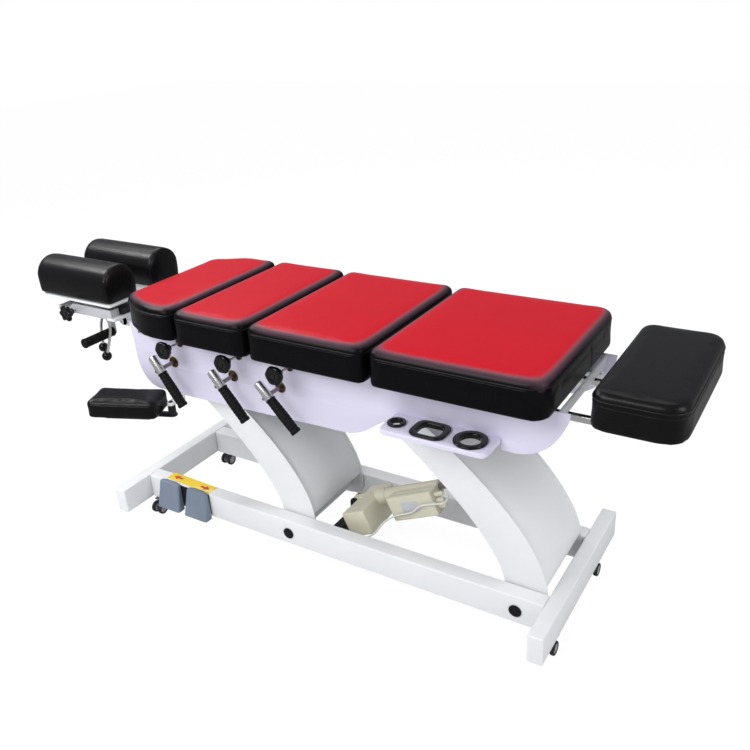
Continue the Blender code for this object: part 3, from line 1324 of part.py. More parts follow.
def drop_plates():
    """The plates under the drop cushions, with side flanges that the cranks push up."""
    top = CUSHION_UNDERSIDE - GAP
    low = top - PLATE_THICKNESS
    for index, name in enumerate(("chest", "thoracic", "lumbar")):
        left, right = section_spans()[index]
        make_body(name, ((left + right) / 2, 0, low))
        board = box((left, -PLATE_HALF_WIDTH, low), (right, PLATE_HALF_WIDTH, top))
        for side in (-1, 1):
            faces = (side * FLANGE_OUTER_Y, side * (FLANGE_OUTER_Y - FLANGE_THICKNESS))
            weld(board, box((left, min(faces), FLANGE_UNDERSIDE), (right, max(faces), low + SINK)))
        tip_x = LEVER_SHAFT_X[index] + CRANK_LENGTH
        tongue_low = LEVER_SHAFT_Z + CRANK_TIP_RADIUS + CRANK_GAP
        weld(board, box((tip_x - TONGUE_WIDTH / 2, -FLANGE_OUTER_Y, tongue_low),
                        (tip_x + TONGUE_WIDTH / 2, -FLANGE_OUTER_Y + FLANGE_THICKNESS,
                         FLANGE_UNDERSIDE + SINK)))
        slot_half = KNOB_ROD_RADIUS + SINK * 2
        slot = capsule((KNOB_X[index], KNOB_Z - DROP_TRAVEL - SINK), (KNOB_X[index], KNOB_Z + SINK),
                       slot_half, 6)
        cut(board, plate([slot], -FLANGE_OUTER_Y - OVERRUN,
                         -FLANGE_OUTER_Y + FLANGE_THICKNESS + OVERRUN))
        for x in STANDOFF_X:
            clear = STANDOFF_SIZE / 2 + DROP_TRAVEL
            if left - clear < x < right + clear:
                for side in (-1, 1):
                    cut(board, box((x - clear, min(side * FRAME_RAIL_Y, side * SKIRT_OUTER_Y),
                                    FLANGE_UNDERSIDE - OVERRUN),
                                   (x + clear, max(side * FRAME_RAIL_Y, side * SKIRT_OUTER_Y),
                                    FRAME_TOP - OVERRUN)))
        finish(board, name + "_plate", "grey_coat", name)


def cocking_levers():
    """The cocking levers: a shaft with a crank, a chrome bar and a ribbed grip."""
    for index, name in enumerate(("chest", "thoracic", "lumbar")):
        x = LEVER_SHAFT_X[index]
        make_body(name + "_lever", (x, -LEVER_Y, LEVER_SHAFT_Z))
        shaft = rod(LEVER_SHAFT_RADIUS, (x, -LEVER_Y, LEVER_SHAFT_Z),
                    (x, -LEVER_SHAFT_INNER_Y, LEVER_SHAFT_Z))
        crank = capsule((x, LEVER_SHAFT_Z), (x + CRANK_LENGTH, LEVER_SHAFT_Z), CRANK_TIP_RADIUS)
        weld(shaft, plate([crank], -CRANK_Y - CRANK_THICKNESS / 2, -CRANK_Y + CRANK_THICKNESS / 2))
        weld(shaft, lever_bar(x), lever_bolt(x))
        finish(shaft, name + "_lever", "chrome", name + "_lever")
        finish(lever_grip(x), name + "_grip", "black_rubber", name + "_lever")


def lever_place(x, along):
    """A place on a lever's bar, measured from its shaft towards the grip."""
    return (x + along * math.cos(LEVER_SLOPE), -LEVER_Y, LEVER_SHAFT_Z - along * math.sin(LEVER_SLOPE))


def lever_bar(x):
    """The chrome bar: a domed top, a thick body and a thinner core inside the grip."""
    body_end = LEVER_CHROME - LEVER_ABOVE
    core_end = LEVER_LENGTH - LEVER_ABOVE - SINK * 4
    radius = LEVER_BAR_RADIUS
    dome = radius / 2
    profile = [(0, LEVER_ABOVE), (dome, LEVER_ABOVE - SINK * 2), (radius, LEVER_ABOVE - dome),
               (radius, -body_end), (LEVER_CORE_RADIUS, -body_end), (LEVER_CORE_RADIUS, -core_end),
               (0, -core_end)]
    up = Vector(lever_place(0, -1)) - Vector(lever_place(0, 0))
    return turned(profile, lever_place(x, 0), up)


def lever_bolt(x):
    """The small bolt across the bar beside the shaft."""
    start = Vector(lever_place(x, 0))
    side = Vector((-math.sin(LEVER_SLOPE), 0, -math.cos(LEVER_SLOPE)))
    return rod(LEVER_BOLT_RADIUS, start, start + side * (LEVER_BAR_RADIUS + LEVER_BOLT_LENGTH), 8)


def lever_grip(x):
    """The ribbed rubber grip, a sleeve with a closed end."""
    first = LEVER_CHROME - LEVER_ABOVE + GAP
    last = LEVER_LENGTH - LEVER_ABOVE
    pitch = (last - first) / GRIP_RIBS
    profile = []
    for rib in range(GRIP_RIBS):
        start = first + rib * pitch
        profile += [(GRIP_RADIUS - GRIP_RIB_DEPTH, -start), (GRIP_RADIUS, -start - pitch / 2)]
    profile += [(GRIP_RADIUS - GRIP_RIB_DEPTH, -last), (0, -last)]
    inner = LEVER_CORE_RADIUS + GAP
    bottom = LEVER_LENGTH - LEVER_ABOVE - SINK * 4 + GAP
    profile = [(0, -bottom), (inner, -bottom), (inner, -first)] + profile
    up = Vector(lever_place(0, -1)) - Vector(lever_place(0, 0))
    return turned(profile, lever_place(x, 0), up)


def star_knob(x, y, z, rod_end):
    """A lobed knob with its hub and a thin rod along +Y."""
    lobes = KNOB_LOBES * 5
    outline = []
    for i in range(lobes):
        angle = math.tau * i / lobes
        radius = KNOB_RADIUS * (1 - KNOB_LOBE_SHARE + KNOB_LOBE_SHARE * math.cos(KNOB_LOBES * angle))
        outline.append((x + radius * math.cos(angle), z + radius * math.sin(angle)))
    front = y - KNOB_THICKNESS / 2
    back = y + KNOB_THICKNESS / 2
    knob = plate([outline], front, back)
    weld(knob, rod(KNOB_HUB_RADIUS, (x, back - SINK, z), (x, back + KNOB_HUB_LENGTH, z), 14))
    weld(knob, rod(KNOB_ROD_RADIUS, (x, back, z), (x, rod_end, z), 12))
    return knob


def tension_knobs():
    """The tension knobs, whose rods run through the skirt into the rail's blocks."""
    for index, name in enumerate(("chest", "thoracic", "lumbar")):
        body = name + "_knob"
        make_body(body, (KNOB_X[index], -KNOB_Y, KNOB_Z))
        finish(star_knob(KNOB_X[index], -KNOB_Y, KNOB_Z, -KNOB_ROD_INNER_Y), body,
               "black_plastic", body)


def foot_section():
    """The sliding foot section: two chrome rails joined by bars, and its cushion."""
    make_body("foot_section", (SLIDE_RAIL_X[0], 0, SLIDE_RAIL_Z))
    low = SLIDE_RAIL_Z - SLIDE_RAIL_HEIGHT / 2
    high = SLIDE_RAIL_Z + SLIDE_RAIL_HEIGHT / 2
    top = FOOT_CUSHION_UNDERSIDE - GAP
    rails = []
    hollows = []
    for side in (-1, 1):
        left = side * SLIDE_RAIL_Y - SLIDE_RAIL_WIDTH / 2
        right = left + SLIDE_RAIL_WIDTH
        rails.append(box((SLIDE_RAIL_X[0], left, low), (SLIDE_RAIL_X[1], right, high)))
        hollows.append(box((SLIDE_RAIL_X[0] - OVERRUN, left + SLIDE_RAIL_WALL, low + SLIDE_RAIL_WALL),
                           (SLIDE_RAIL_X[1] + OVERRUN, right - SLIDE_RAIL_WALL,
                            high - SLIDE_RAIL_WALL)))
    slide = rails[0]
    weld(slide, rails[1])
    reach = SLIDE_RAIL_Y + SLIDE_RAIL_WIDTH
    for x in SLIDE_BAR_X:
        half = SLIDE_BAR_WIDTH / 2
        weld(slide, box((x - half, -reach, high - SINK), (x + half, reach, top)))
    cut(slide, *hollows)
    finish(slide, "foot_slide", "chrome", "foot_section")
    corners = rectangle((FOOT_CUSHION_X[0], -FOOT_CUSHION_HALF_WIDTH),
                        (FOOT_CUSHION_X[1], FOOT_CUSHION_HALF_WIDTH))
    obj = cushion(corners, [CUSHION_CORNER] * 4, FOOT_CUSHION_UNDERSIDE, FOOT_CUSHION_SEAM,
                  FOOT_CUSHION_TOP)
    finish(obj, "foot_cushion", "black_vinyl", "foot_section")


def armrests():
    """The swinging armrests: a pin and a flat bar under each pad."""
    x = ARMREST_HINGE_X
    for name, side in (("near", -1), ("far", 1)):
        hinge = (x, side * ARMREST_HINGE_Y)
        body = "armrest_" + name
        make_body(body, (*hinge, ARMREST_EAR_Z))
        heading = Vector((-math.cos(ARMREST_YAW), side * math.sin(ARMREST_YAW)))
        far_end = Vector(hinge) + heading * ARMREST_BAR_LENGTH
        bar_low = ARMREST_BAR_TOP - ARMREST_BAR_THICKNESS
        bar = plate([capsule(hinge, far_end, ARMREST_BAR_WIDTH / 2)], bar_low, ARMREST_BAR_TOP, "Z")
        pin_top = ARMREST_EAR_Z + ARMREST_EAR_THICKNESS + SINK * 3
        collar_top = ARMREST_EAR_Z - GAP
        weld(bar, rod(ARMREST_PIN_RADIUS, (*hinge, bar_low + SINK), (*hinge, pin_top), 12))
        weld(bar, rod(ARMREST_EYE_RADIUS, (*hinge, bar_low + SINK), (*hinge, collar_top), 16))
        finish(bar, body + "_bar", "white_coat", body)
        finish(armrest_pad(hinge, heading, side), body + "_pad", "black_vinyl", body)


def armrest_pad(hinge, heading, side):
    """An armrest's pad on its bar, clear of the hinge's collar."""
    across = Vector((heading.y, -heading.x)) * side
    start = Vector(hinge) + heading * PAD_START - across * (PAD_WIDTH / 2 - PAD_OFFSET)
    corners = [start, start + across * PAD_WIDTH,
               start + across * PAD_WIDTH + heading * PAD_LENGTH, start + heading * PAD_LENGTH]
    corners = [tuple(corner) for corner in corners]
    area = sum(a[0] * b[1] - b[0] * a[1] for a, b in zip(corners, corners[1:] + corners[:1]))
    if area < 0:
        corners.reverse()
    low = ARMREST_BAR_TOP + GAP
    return cushion(corners, [PAD_CORNER] * 4, low, low + PAD_THICKNESS * PAD_SEAM_SHARE,
                   low + PAD_THICKNESS, 1)


def head_tilt_frame():
    """The tray that tilts on the support's shaft, with two lugs below it."""
    make_body("head_tilt", (TILT_X, 0, TILT_Z))
    half = TRAY_HALF_WIDTH
    top = TRAY_UNDERSIDE + TRAY_RIM
    tray = box((TRAY_X[0], -half, TRAY_UNDERSIDE), (TRAY_X[1], half, top))
    cut(tray, box((TRAY_X[0] + TRAY_THICKNESS, -half + TRAY_THICKNESS,
                   TRAY_UNDERSIDE + TRAY_THICKNESS),
                  (TRAY_X[1] - TRAY_THICKNESS, half - TRAY_THICKNESS, top + OVERRUN)))
    for side in (-1, 1):
        faces = (side * TILT_LUG_Y, side * (TILT_LUG_Y + TILT_LUG_THICKNESS))
        lug = capsule((TILT_X, TILT_Z), (TILT_X, TRAY_UNDERSIDE - TILT_LUG_RADIUS + TRAY_THICKNESS),
                      TILT_LUG_RADIUS)
        weld(tray, plate([lug], min(faces), max(faces)))
    weld(tray, head_handle_lug(), *ball_lever_ears())
    lug_end = TILT_LUG_Y + TILT_LUG_THICKNESS + SINK
    cut(tray, rod(TILT_SHAFT_RADIUS + PLAY, (TILT_X, -lug_end, TILT_Z), (TILT_X, lug_end, TILT_Z)))
    cut(tray, rod(HANDLE_SHAFT_RADIUS + PLAY, (HANDLE_X, -HANDLE_Y[0] - OVERRUN, HANDLE_Z),
                  (HANDLE_X, -HANDLE_Y[0] + HANDLE_SHAFT_LENGTH, HANDLE_Z)))
    for y, (top, *rest) in zip(BALL_LEVER_Y, ball_routes()):
        cut(tray, rod(BALL_PIN_RADIUS + PLAY, (top[0], y, top[1]),
                      (top[0], y + BALL_PIN_LENGTH + OVERRUN, top[1]), 8))
    for x in carriage_posts():
        for side in (-1, 1):
            y = side * HEAD_CUSHION_Y
            cut(tray, rod(CARRIAGE_POST_RADIUS + PLAY, (x, y, TRAY_UNDERSIDE - OVERRUN),
                          (x, y, TRAY_UNDERSIDE + TRAY_THICKNESS + OVERRUN)))
    cut(tray, rod(KNOB_ROD_RADIUS + PLAY, (HEAD_KNOB_X, -half - OVERRUN, HEAD_KNOB_Z),
                  (HEAD_KNOB_X, -half + TRAY_THICKNESS + OVERRUN, HEAD_KNOB_Z), 8))
    finish(tray, "head_tilt_frame", "white_coat", "head_tilt")


def carriage_posts():
    """Where the head carriage's guide posts stand."""
    middle = (TRAY_X[0] + TRAY_X[1]) / 2
    return middle - CARRIAGE_POST_X, middle + CARRIAGE_POST_X


def head_carriage():
    """The shallow lid that carries both head cushions and drops on four guide posts."""
    make_body("head_drop", ((TRAY_X[0] + TRAY_X[1]) / 2, 0, CARRIAGE_UNDERSIDE))
    half = CARRIAGE_HALF_WIDTH
    top = HEAD_CUSHION_UNDERSIDE - GAP
    plan = rectangle((CARRIAGE_X[0], -half), (CARRIAGE_X[1], half))
    carriage = plate([fillet(plan, CUSHION_SHOULDER, 3)], CARRIAGE_UNDERSIDE, top, "Z")
    inner = fillet(shrink(plan, CARRIAGE_RIM), CUSHION_SHOULDER - CARRIAGE_RIM, 3)
    cut(carriage, plate([inner], CARRIAGE_UNDERSIDE - OVERRUN, top - CARRIAGE_THICKNESS, "Z"))
    for x in carriage_posts():
        for side in (-1, 1):
            y = side * HEAD_CUSHION_Y
            weld(carriage, rod(CARRIAGE_POST_RADIUS, (x, y, TRAY_UNDERSIDE - TRAY_RIM),
                               (x, y, top - CARRIAGE_THICKNESS + SINK)))
    finish(carriage, "head_carriage", "white_coat", "head_drop")


def head_cushions():
    """The two half-round head cushions, their ends slightly eased."""
    for name, side in (("near", -1), ("far", 1)):
        y = side * HEAD_CUSHION_Y
        body = "head_cushion_" + name
        make_body(body, (HEAD_CUSHION_X[1], y, HEAD_CUSHION_UNDERSIDE))
        half = HEAD_CUSHION_WIDTH / 2
        rise = HEAD_CUSHION_TOP - HEAD_CUSHION_UNDERSIDE - HEAD_CUSHION_SIDE
        spring = HEAD_CUSHION_UNDERSIDE + HEAD_CUSHION_SIDE
        arch = [(y + half * math.cos(math.pi * i / 12), spring + rise * math.sin(math.pi * i / 12))
                for i in range(13)]
        outline = [(y - half + CUSHION_BULGE, HEAD_CUSHION_UNDERSIDE),
                   (y + half - CUSHION_BULGE, HEAD_CUSHION_UNDERSIDE)] + arch
        pad = ease(plate([outline], *HEAD_CUSHION_X, "X"), HEAD_CUSHION_BEVEL, 2)
        finish(pad, body, "black_vinyl", body)


def head_handle_lug():
    """The lug below the tray that the handle turns in."""
    outer = -HANDLE_Y[0] + GAP
    lug = capsule((HANDLE_X, HANDLE_Z),
                  (HANDLE_X, TRAY_UNDERSIDE - HANDLE_LUG_RADIUS + TRAY_THICKNESS), HANDLE_LUG_RADIUS)
    return plate([lug], outer, outer + HANDLE_LUG_THICKNESS)


def ball_routes():
    """The ball levers' places in the table's frame, as (x, z) pairs."""
    return [[(TILT_X - reach, TRAY_UNDERSIDE - drop) for reach, drop in route]
            for route in BALL_ROUTES]


def ball_lever_ears():
    """The ears below the tray that the ball levers' pins turn in."""
    half = BALL_EAR_SIZE / 2
    ears = []
    for y, route in zip(BALL_LEVER_Y, ball_routes()):
        x, z = route[0]
        start = y + KNUCKLE_RADIUS + GAP
        ears.append(box((x - half, start, z - half),
                        (x + half, start + BALL_EAR_THICKNESS, TRAY_UNDERSIDE + SINK)))
    return ears


def head_controls():
    """The star knob, the ribbed handle and the two ball-ended locking levers."""
    make_body("head_knob", (HEAD_KNOB_X, -HEAD_KNOB_Y, HEAD_KNOB_Z))
    finish(star_knob(HEAD_KNOB_X, -HEAD_KNOB_Y, HEAD_KNOB_Z, -HEAD_KNOB_ROD_END), "head_knob",
           "black_plastic", "head_knob")
    make_body("head_handle", (HANDLE_X, -HANDLE_Y[0], HANDLE_Z))
    handle = rod(HANDLE_RADIUS, (HANDLE_X, -HANDLE_Y[0], HANDLE_Z), (HANDLE_X, -HANDLE_Y[1], HANDLE_Z))
    weld(handle, rod(HANDLE_SHAFT_RADIUS, (HANDLE_X, -HANDLE_Y[0] - SINK, HANDLE_Z),
                     (HANDLE_X, -HANDLE_Y[0] + HANDLE_SHAFT_LENGTH, HANDLE_Z)))
    finish(handle, "head_handle", "black_rubber", "head_handle")
    for y, route, name in zip(BALL_LEVER_Y, ball_routes(), ("ball_lever_near", "ball_lever_far")):
        places = [(x, y, z) for x, z in route]
        top = places[0]
        make_body(name, top)
        stick = tube(smooth_route(places, BALL_ROD_RADIUS * 5), BALL_ROD_RADIUS, 1)
        pin = rod(BALL_PIN_RADIUS, top, (top[0], top[1] + BALL_PIN_LENGTH, top[2]), 8)
        weld(stick, ball(BALL_RADIUS, places[-1]), ball(KNUCKLE_RADIUS, top, 8, 4), pin)
        finish(stick, name, "chrome", name)


def build_table():
    """Make every piece, body by body."""
    start_scene()
    make_body("actuator", (ACTUATOR_REAR[0], 0, ACTUATOR_REAR[1]))
    make_body("actuator_rod", (ACTUATOR_FRONT[0], 0, ACTUATOR_FRONT[1]))
    make_body("top", (UPPER_PIVOT_X, 0, UPPER_PIVOT_Z))
    base_feet()
    base_rails()
    lower_shafts()
    actuator_crossbar()
    actuator_body()
    actuator_rod()
    control_box()
    control_lead()
    casters()
    pedals()
    pedal_bracket()
    lift_arms()
    upper_frame()
    skirts()
    grommets()
    drop_plates()
    cushions()
    cocking_levers()
    tension_knobs()
    foot_section()
    armrests()
    head_tilt_frame()
    head_carriage()
    head_cushions()
    head_controls()


build_table()
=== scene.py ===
"""Looks of the chiropractic drop table: its upholstery, levers, knobs, arms, casters and finishes.

Surfaces are worked out as numpy grids in metres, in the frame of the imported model, and each
finished piece rides on the body that carries it.
"""
import math

import bmesh
import bpy
import numpy as np
from mathutils import Matrix, Vector
from mathutils.bvhtree import BVHTree


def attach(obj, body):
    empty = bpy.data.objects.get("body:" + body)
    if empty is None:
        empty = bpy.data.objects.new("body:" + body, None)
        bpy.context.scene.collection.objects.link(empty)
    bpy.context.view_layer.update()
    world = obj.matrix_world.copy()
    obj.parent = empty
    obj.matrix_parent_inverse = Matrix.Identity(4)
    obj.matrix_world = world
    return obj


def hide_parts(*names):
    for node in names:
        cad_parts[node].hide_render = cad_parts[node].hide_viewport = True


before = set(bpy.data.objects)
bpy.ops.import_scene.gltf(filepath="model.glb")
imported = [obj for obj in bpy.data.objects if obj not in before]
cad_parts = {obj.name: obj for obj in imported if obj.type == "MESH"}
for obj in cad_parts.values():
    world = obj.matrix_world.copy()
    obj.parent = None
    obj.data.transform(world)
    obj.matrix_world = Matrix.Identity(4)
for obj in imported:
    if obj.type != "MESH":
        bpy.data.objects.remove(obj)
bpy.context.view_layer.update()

# Camera
CAMERA_PLACE = (1.3702, -1.8779, 1.6639)
CAMERA_RIGHT = (0.8538634, 0.5180596, -0.0503144)
CAMERA_DOWN = (0.1802177, -0.3849452, -0.9051733)
CAMERA_FORWARD = (-0.4883020, 0.7638268, -0.4220542)
CAMERA_LENS = 38.96
SENSOR_WIDTH = 36.0

# Levels and widths of the upholstered top
CUSHION_HALF_WIDTH = 0.281
CUSHION_UNDERSIDE = 0.7407
CUSHION_SEAM = 0.8235
CUSHION_TOP = 0.8455
CUSHION_CORNER = 0.032
CUSHION_SHOULDER = 0.0185
CUSHION_CROWN = 0.0012
WELT_RADII = (0.0021, 0.0011)
PELVIC_END_CORNER = 0.055
SECTION_SPANS = {"thoracic": (-0.3705, -0.0945), "lumbar": (-0.0870, 0.3080)}
CHEST_PLAN = ((-0.507, -0.276), (-0.3800, -0.276), (-0.3800, 0.276), (-0.507, 0.276),
              (-0.632, 0.209), (-0.632, -0.209))
PELVIC_SPAN = (0.3180, 0.8090)
FOOT_SPAN = (0.8895, 1.1132)
FOOT_HALF_WIDTH = 0.242
FOOT_UNDERSIDE = 0.7335
FOOT_SEAM = 0.8095
FOOT_TOP = 0.8325
HEAD_SPAN = (-1.1155, -0.7620)
HEAD_Y = 0.1035
HEAD_WIDTH = 0.1440
HEAD_UNDERSIDE = 0.7695
HEAD_SPRING = 0.8260
HEAD_TOP = 0.8955
ARM_PAD_YAW = 22
ARM_PAD_WIDTH = 0.122
ARM_PAD_LENGTH = 0.242
ARM_PAD_CORNER = 0.02
ARM_PAD_UNDERSIDE = 0.4563
ARM_PAD_SEAM = 0.046
ARM_PAD_HEIGHT = 0.0620

# Levers and knobs along the near side
SECTIONS = ("chest", "thoracic", "lumbar")
LEVER_X = (-0.474, -0.225, -0.042)
LEVER_Y = -0.2565
LEVER_Z = 0.627
LEVER_SLOPES = {"chest": 55.5, "thoracic": 51.5, "lumbar": 47.0}
LEVER_ABOVE = 0.050
LEVER_CHROME = 0.062
LEVER_LENGTH = 0.189
LEVER_RADIUS = 0.0142
KNOB_X = (-0.435, -0.194, -0.001)
KNOB_Y = -0.2655
KNOB_Z = 0.702
KNOB_RADIUS = 0.0298
SKIRT_OUT = 0.1935
SKIRT_IN = 0.1905
LEVER_HOLE = 0.0158
KNOB_HOLE = 0.0126
KNOB_LOBES = 0.03
KNOB_ROD_END = -0.158
HEAD_KNOB = (-0.958, -0.200, 0.7225)
HEAD_KNOB_LOBES = 0.12
HEAD_KNOB_ROD_END = -0.120

# Lift
LOWER_PIVOT = (-0.068, 0.096)
UPPER_PIVOT = (-0.584, 0.666)
PIVOT_SPACING = 0.786
ARM_HALF_WIDTH = 0.148
ARM_FOOT_DEPTH = 0.0635
ARM_TOP_DEPTH = 0.037
ARM_HINGE = (-0.5085, 0.205)
ACTUATOR_REAR = (0.0717, 0.1474)
ACTUATOR_FRONT = (0.5007, 0.3446)

UP = np.array((0.0, 0.0, 1.0))
SIDES = (("near", -1), ("far", 1))


# Meshes from grids

def new_piece(name, points, faces, sharp=35, weld=True):
    """A mesh object from points and faces, with outward normals and edges sharp past an angle."""
    mesh = bpy.data.meshes.new(name)
    mesh.from_pydata(np.asarray(points, float).reshape(-1, 3).tolist(), [], faces)
    shape = bmesh.new()
    shape.from_mesh(mesh)
    if weld:
        bmesh.ops.remove_doubles(shape, verts=shape.verts, dist=2e-6)
        bmesh.ops.dissolve_degenerate(shape, edges=shape.edges, dist=1e-6)
    bmesh.ops.recalc_face_normals(shape, faces=shape.faces)
    shape.to_mesh(mesh)
    shape.free()
    mesh.polygons.foreach_set("use_smooth", [True] * len(mesh.polygons))
    mesh.set_sharp_from_angle(angle=math.radians(sharp))
    piece = bpy.data.objects.new(name, mesh)
    bpy.context.scene.collection.objects.link(piece)
    return piece


def points_of(mesh):
    """A mesh's points as an array."""
    points = np.empty(len(mesh.vertices) * 3)
    mesh.vertices.foreach_get("co", points)
    return points.reshape(-1, 3)


def surface(name, grid, wrap_rows=False, wrap_columns=True, capped=True, sharp=35):
    """A grid of points as quads: row beside row, with its first and last rows closed if capped."""
    rows, columns = grid.shape[:2]
    r = np.arange(rows if wrap_rows else rows - 1)[:, None]
    c = np.arange(columns if wrap_columns else columns - 1)[None, :]
    next_r = (r + 1) % rows
    next_c = (c + 1) % columns
    quads = np.stack([r * columns + c, r * columns + next_c,
                      next_r * columns + next_c, next_r * columns + c], -1)
    faces = quads.reshape(-1, 4).tolist()
    if capped and not wrap_rows:
        faces.append(list(range(columns))[::-1])
        faces.append(list(range((rows - 1) * columns, rows * columns)))
    return new_piece(name, grid, faces, sharp)


def unit(vector):
    """A vector or rows of vectors at length one."""
    vector = np.asarray(vector, float)
    return vector / np.linalg.norm(vector, axis=-1, keepdims=True)


def soften(points, radius, steps=5, closed=True):
    """Each corner becomes a quadratic curve that starts and ends a radius away along its edges."""
    corners = np.asarray(points, float)
    radius = np.broadcast_to(np.asarray(radius, float), len(corners))[:, None]
    back = np.roll(corners, 1, 0) - corners
    ahead = np.roll(corners, -1, 0) - corners
    back_length = np.linalg.norm(back, axis=1, keepdims=True) + 1e-12
    ahead_length = np.linalg.norm(ahead, axis=1, keepdims=True) + 1e-12
    cut = np.minimum(radius, np.minimum(back_length, ahead_length) * 0.499)
    start = corners + back / back_length * cut
    end = corners + ahead / ahead_length * cut
    t = np.linspace(0, 1, steps + 1)[None, :, None]
    arcs = (1 - t) ** 2 * start[:, None] + 2 * t * (1 - t) * corners[:, None] + t ** 2 * end[:, None]
    if closed:
        return arcs.reshape(-1, corners.shape[1])
    return np.concatenate([corners[:1], arcs[1:-1].reshape(-1, corners.shape[1]), corners[-1:]])


def smooth_path(points, count):
    """A Catmull-Rom curve through points, read at even steps along its length."""
    p = np.asarray(points, float)
    p = np.concatenate([[2 * p[0] - p[1]], p, [2 * p[-1] - p[-2]]])
    t = np.linspace(0, 1, 24, endpoint=False)[None, :, None]
    a, b, c, d = (p[i:len(p) - 3 + i, None] for i in range(4))
    run = (2 * b + (c - a) * t + (2 * a - 5 * b + 4 * c - d) * t ** 2
           + (3 * b - a - 3 * c + d) * t ** 3) / 2
    run = np.concatenate([run.reshape(-1, p.shape[1]), p[-2:-1]])
    return evenly(run, count)


def evenly(points, count, closed=False):
    """Points at equal distances along a polyline."""
    run = np.concatenate([points, points[:1]]) if closed else points
    length = np.concatenate([[0], np.cumsum(np.linalg.norm(np.diff(run, axis=0), axis=1))])
    places = np.linspace(0, length[-1], count, endpoint=not closed)
    return np.stack([np.interp(places, length, run[:, k]) for k in range(run.shape[1])], 1)


def across(direction):
    """Two unit vectors square to a direction and to each other."""
    along = unit(direction)
    guide = np.array((0.0, 1.0, 0.0)) if abs(along[1]) < 0.8 else np.array((1.0, 0.0, 0.0))
    first = unit(np.cross(along, guide))
    return first, np.cross(along, first), along


def full_turn(steps):
    """Angles at even steps round a circle."""
    return np.linspace(0, 2 * math.pi, steps, endpoint=False)


def turned(name, profile, origin, direction, steps=40, sharp=35, closed=False):
    """A profile of (radius, distance along) points carried round an axis."""
    first, second, along = across(direction)
    profile = np.asarray(profile, float)
    angle = full_turn(steps)
    ring = np.cos(angle)[:, None] * first + np.sin(angle)[:, None] * second
    grid = (np.asarray(origin, float) + profile[:, 0, None, None] * ring[None]
            + profile[:, 1, None, None] * along)
    return surface(name, grid, wrap_rows=closed, sharp=sharp)


def swept(name, path, section, up=UP, closed=False, sharp=40):
    """A closed (side, up) section carried along a path, square to it, beside an up guide."""
    path = np.asarray(path, float)
    if closed:
        tangent = np.roll(path, -1, 0) - np.roll(path, 1, 0)
    else:
        tangent = np.gradient(path, axis=0)
    tangent = unit(tangent)
    side = unit(np.cross(tangent, np.broadcast_to(up, path.shape)))
    normal = np.cross(side, tangent)
    section = np.asarray(section, float)
    grid = (path[:, None] + section[None, :, 0, None] * side[:, None]
            + section[None, :, 1, None] * normal[:, None])
    return surface(name, grid, wrap_rows=closed, sharp=sharp)


def round_section(radius, steps=12):
    """A circle as (side, up) points."""
    angle = full_turn(steps)
    return np.stack([np.cos(angle), np.sin(angle)], 1) * radius


def block(name, low, high, radius, steps=4):
    """A rounded block: directions of a sphere times a radius, pushed out to each corner."""
    low, high = np.asarray(low, float), np.asarray(high, float)
    half = (high - low) / 2
    radius = min(radius, half.min() * 0.999)
    quarter = np.linspace(0, math.pi / 2, steps + 1)
    longitude = (quarter[None] + np.arange(4)[:, None] * math.pi / 2).reshape(-1)
    latitude = np.concatenate([quarter - math.pi / 2, quarter])
    middle = longitude.reshape(4, -1).mean(1).repeat(steps + 1)
    corner = np.stack([np.sign(np.cos(middle)), np.sign(np.sin(middle))], 1)
    tall = np.sign(np.repeat([-1, 1], steps + 1))
    sphere = np.stack([np.cos(latitude)[:, None] * np.cos(longitude),
                       np.cos(latitude)[:, None] * np.sin(longitude),
                       np.broadcast_to(np.sin(latitude)[:, None], (len(latitude), len(longitude)))], -1)
    push = np.empty_like(sphere)
    push[..., :2] = corner[None] * (half[:2] - radius)
    push[..., 2] = tall[:, None] * (half[2] - radius)
    return surface(name, (low + high) / 2 + push + sphere * radius, sharp=32)


def flat_sheet(name, outlines, low, high, axis="Y", bevel=0.0006):
    """Flat outlines, the first with the others as holes, between two levels along an axis."""
    curve = bpy.data.curves.new(name, "CURVE")
    curve.dimensions = "2D"
    curve.fill_mode = "BOTH"
    for outline in outlines:
        spline = curve.splines.new("POLY")
        spline.points.add(len(outline) - 1)
        values = np.zeros((len(outline), 4))
        values[:, :2] = outline
        values[:, 3] = 1
        spline.points.foreach_set("co", values.reshape(-1))
        spline.use_cyclic_u = True
    curve.extrude = (high - low) / 2 - bevel
    curve.bevel_depth = bevel
    curve.bevel_resolution = 1
    curve.offset = -bevel
    holder = bpy.data.objects.new(name, curve)
    bpy.context.scene.collection.objects.link(holder)
    bpy.context.view_layer.update()
    flat = bpy.data.meshes.new_from_object(holder.evaluated_get(bpy.context.evaluated_depsgraph_get()))
    points = points_of(flat)
    depth = points[:, 2] + (low + high) / 2
    order = {"X": (depth, points[:, 0], points[:, 1]), "Y": (points[:, 0], depth, points[:, 1]),
             "Z": (points[:, 0], points[:, 1], depth)}[axis]
    faces = [list(face.vertices) for face in flat.polygons]
    bpy.data.objects.remove(holder)
    return new_piece(name, np.stack(order, 1), faces, 30)


def span(side, inner, outer):
    """Two distances from the middle as a lower and an upper Y on one side."""
    return sorted((side * inner, side * outer))


def rectangle(left, right, front, back):
    """The four corners of an oblong plan."""
    return (left, front), (right, front), (right, back), (left, back)


def upright(x, y, first, last, count):
    """Points up or down a straight upright line."""
    return np.column_stack([np.full(count, x), np.full(count, y), np.linspace(first, last, count)])


def plain_rod(radius, first, last):
    """Profile of a rod with square ends between two distances."""
    return [(0.0, first), (radius, first), (radius, last), (0.0, last)]


def circle(centre, radius, steps=40):
    """A circle of points in a plane."""
    return round_section(radius, steps) + np.asarray(centre, float)


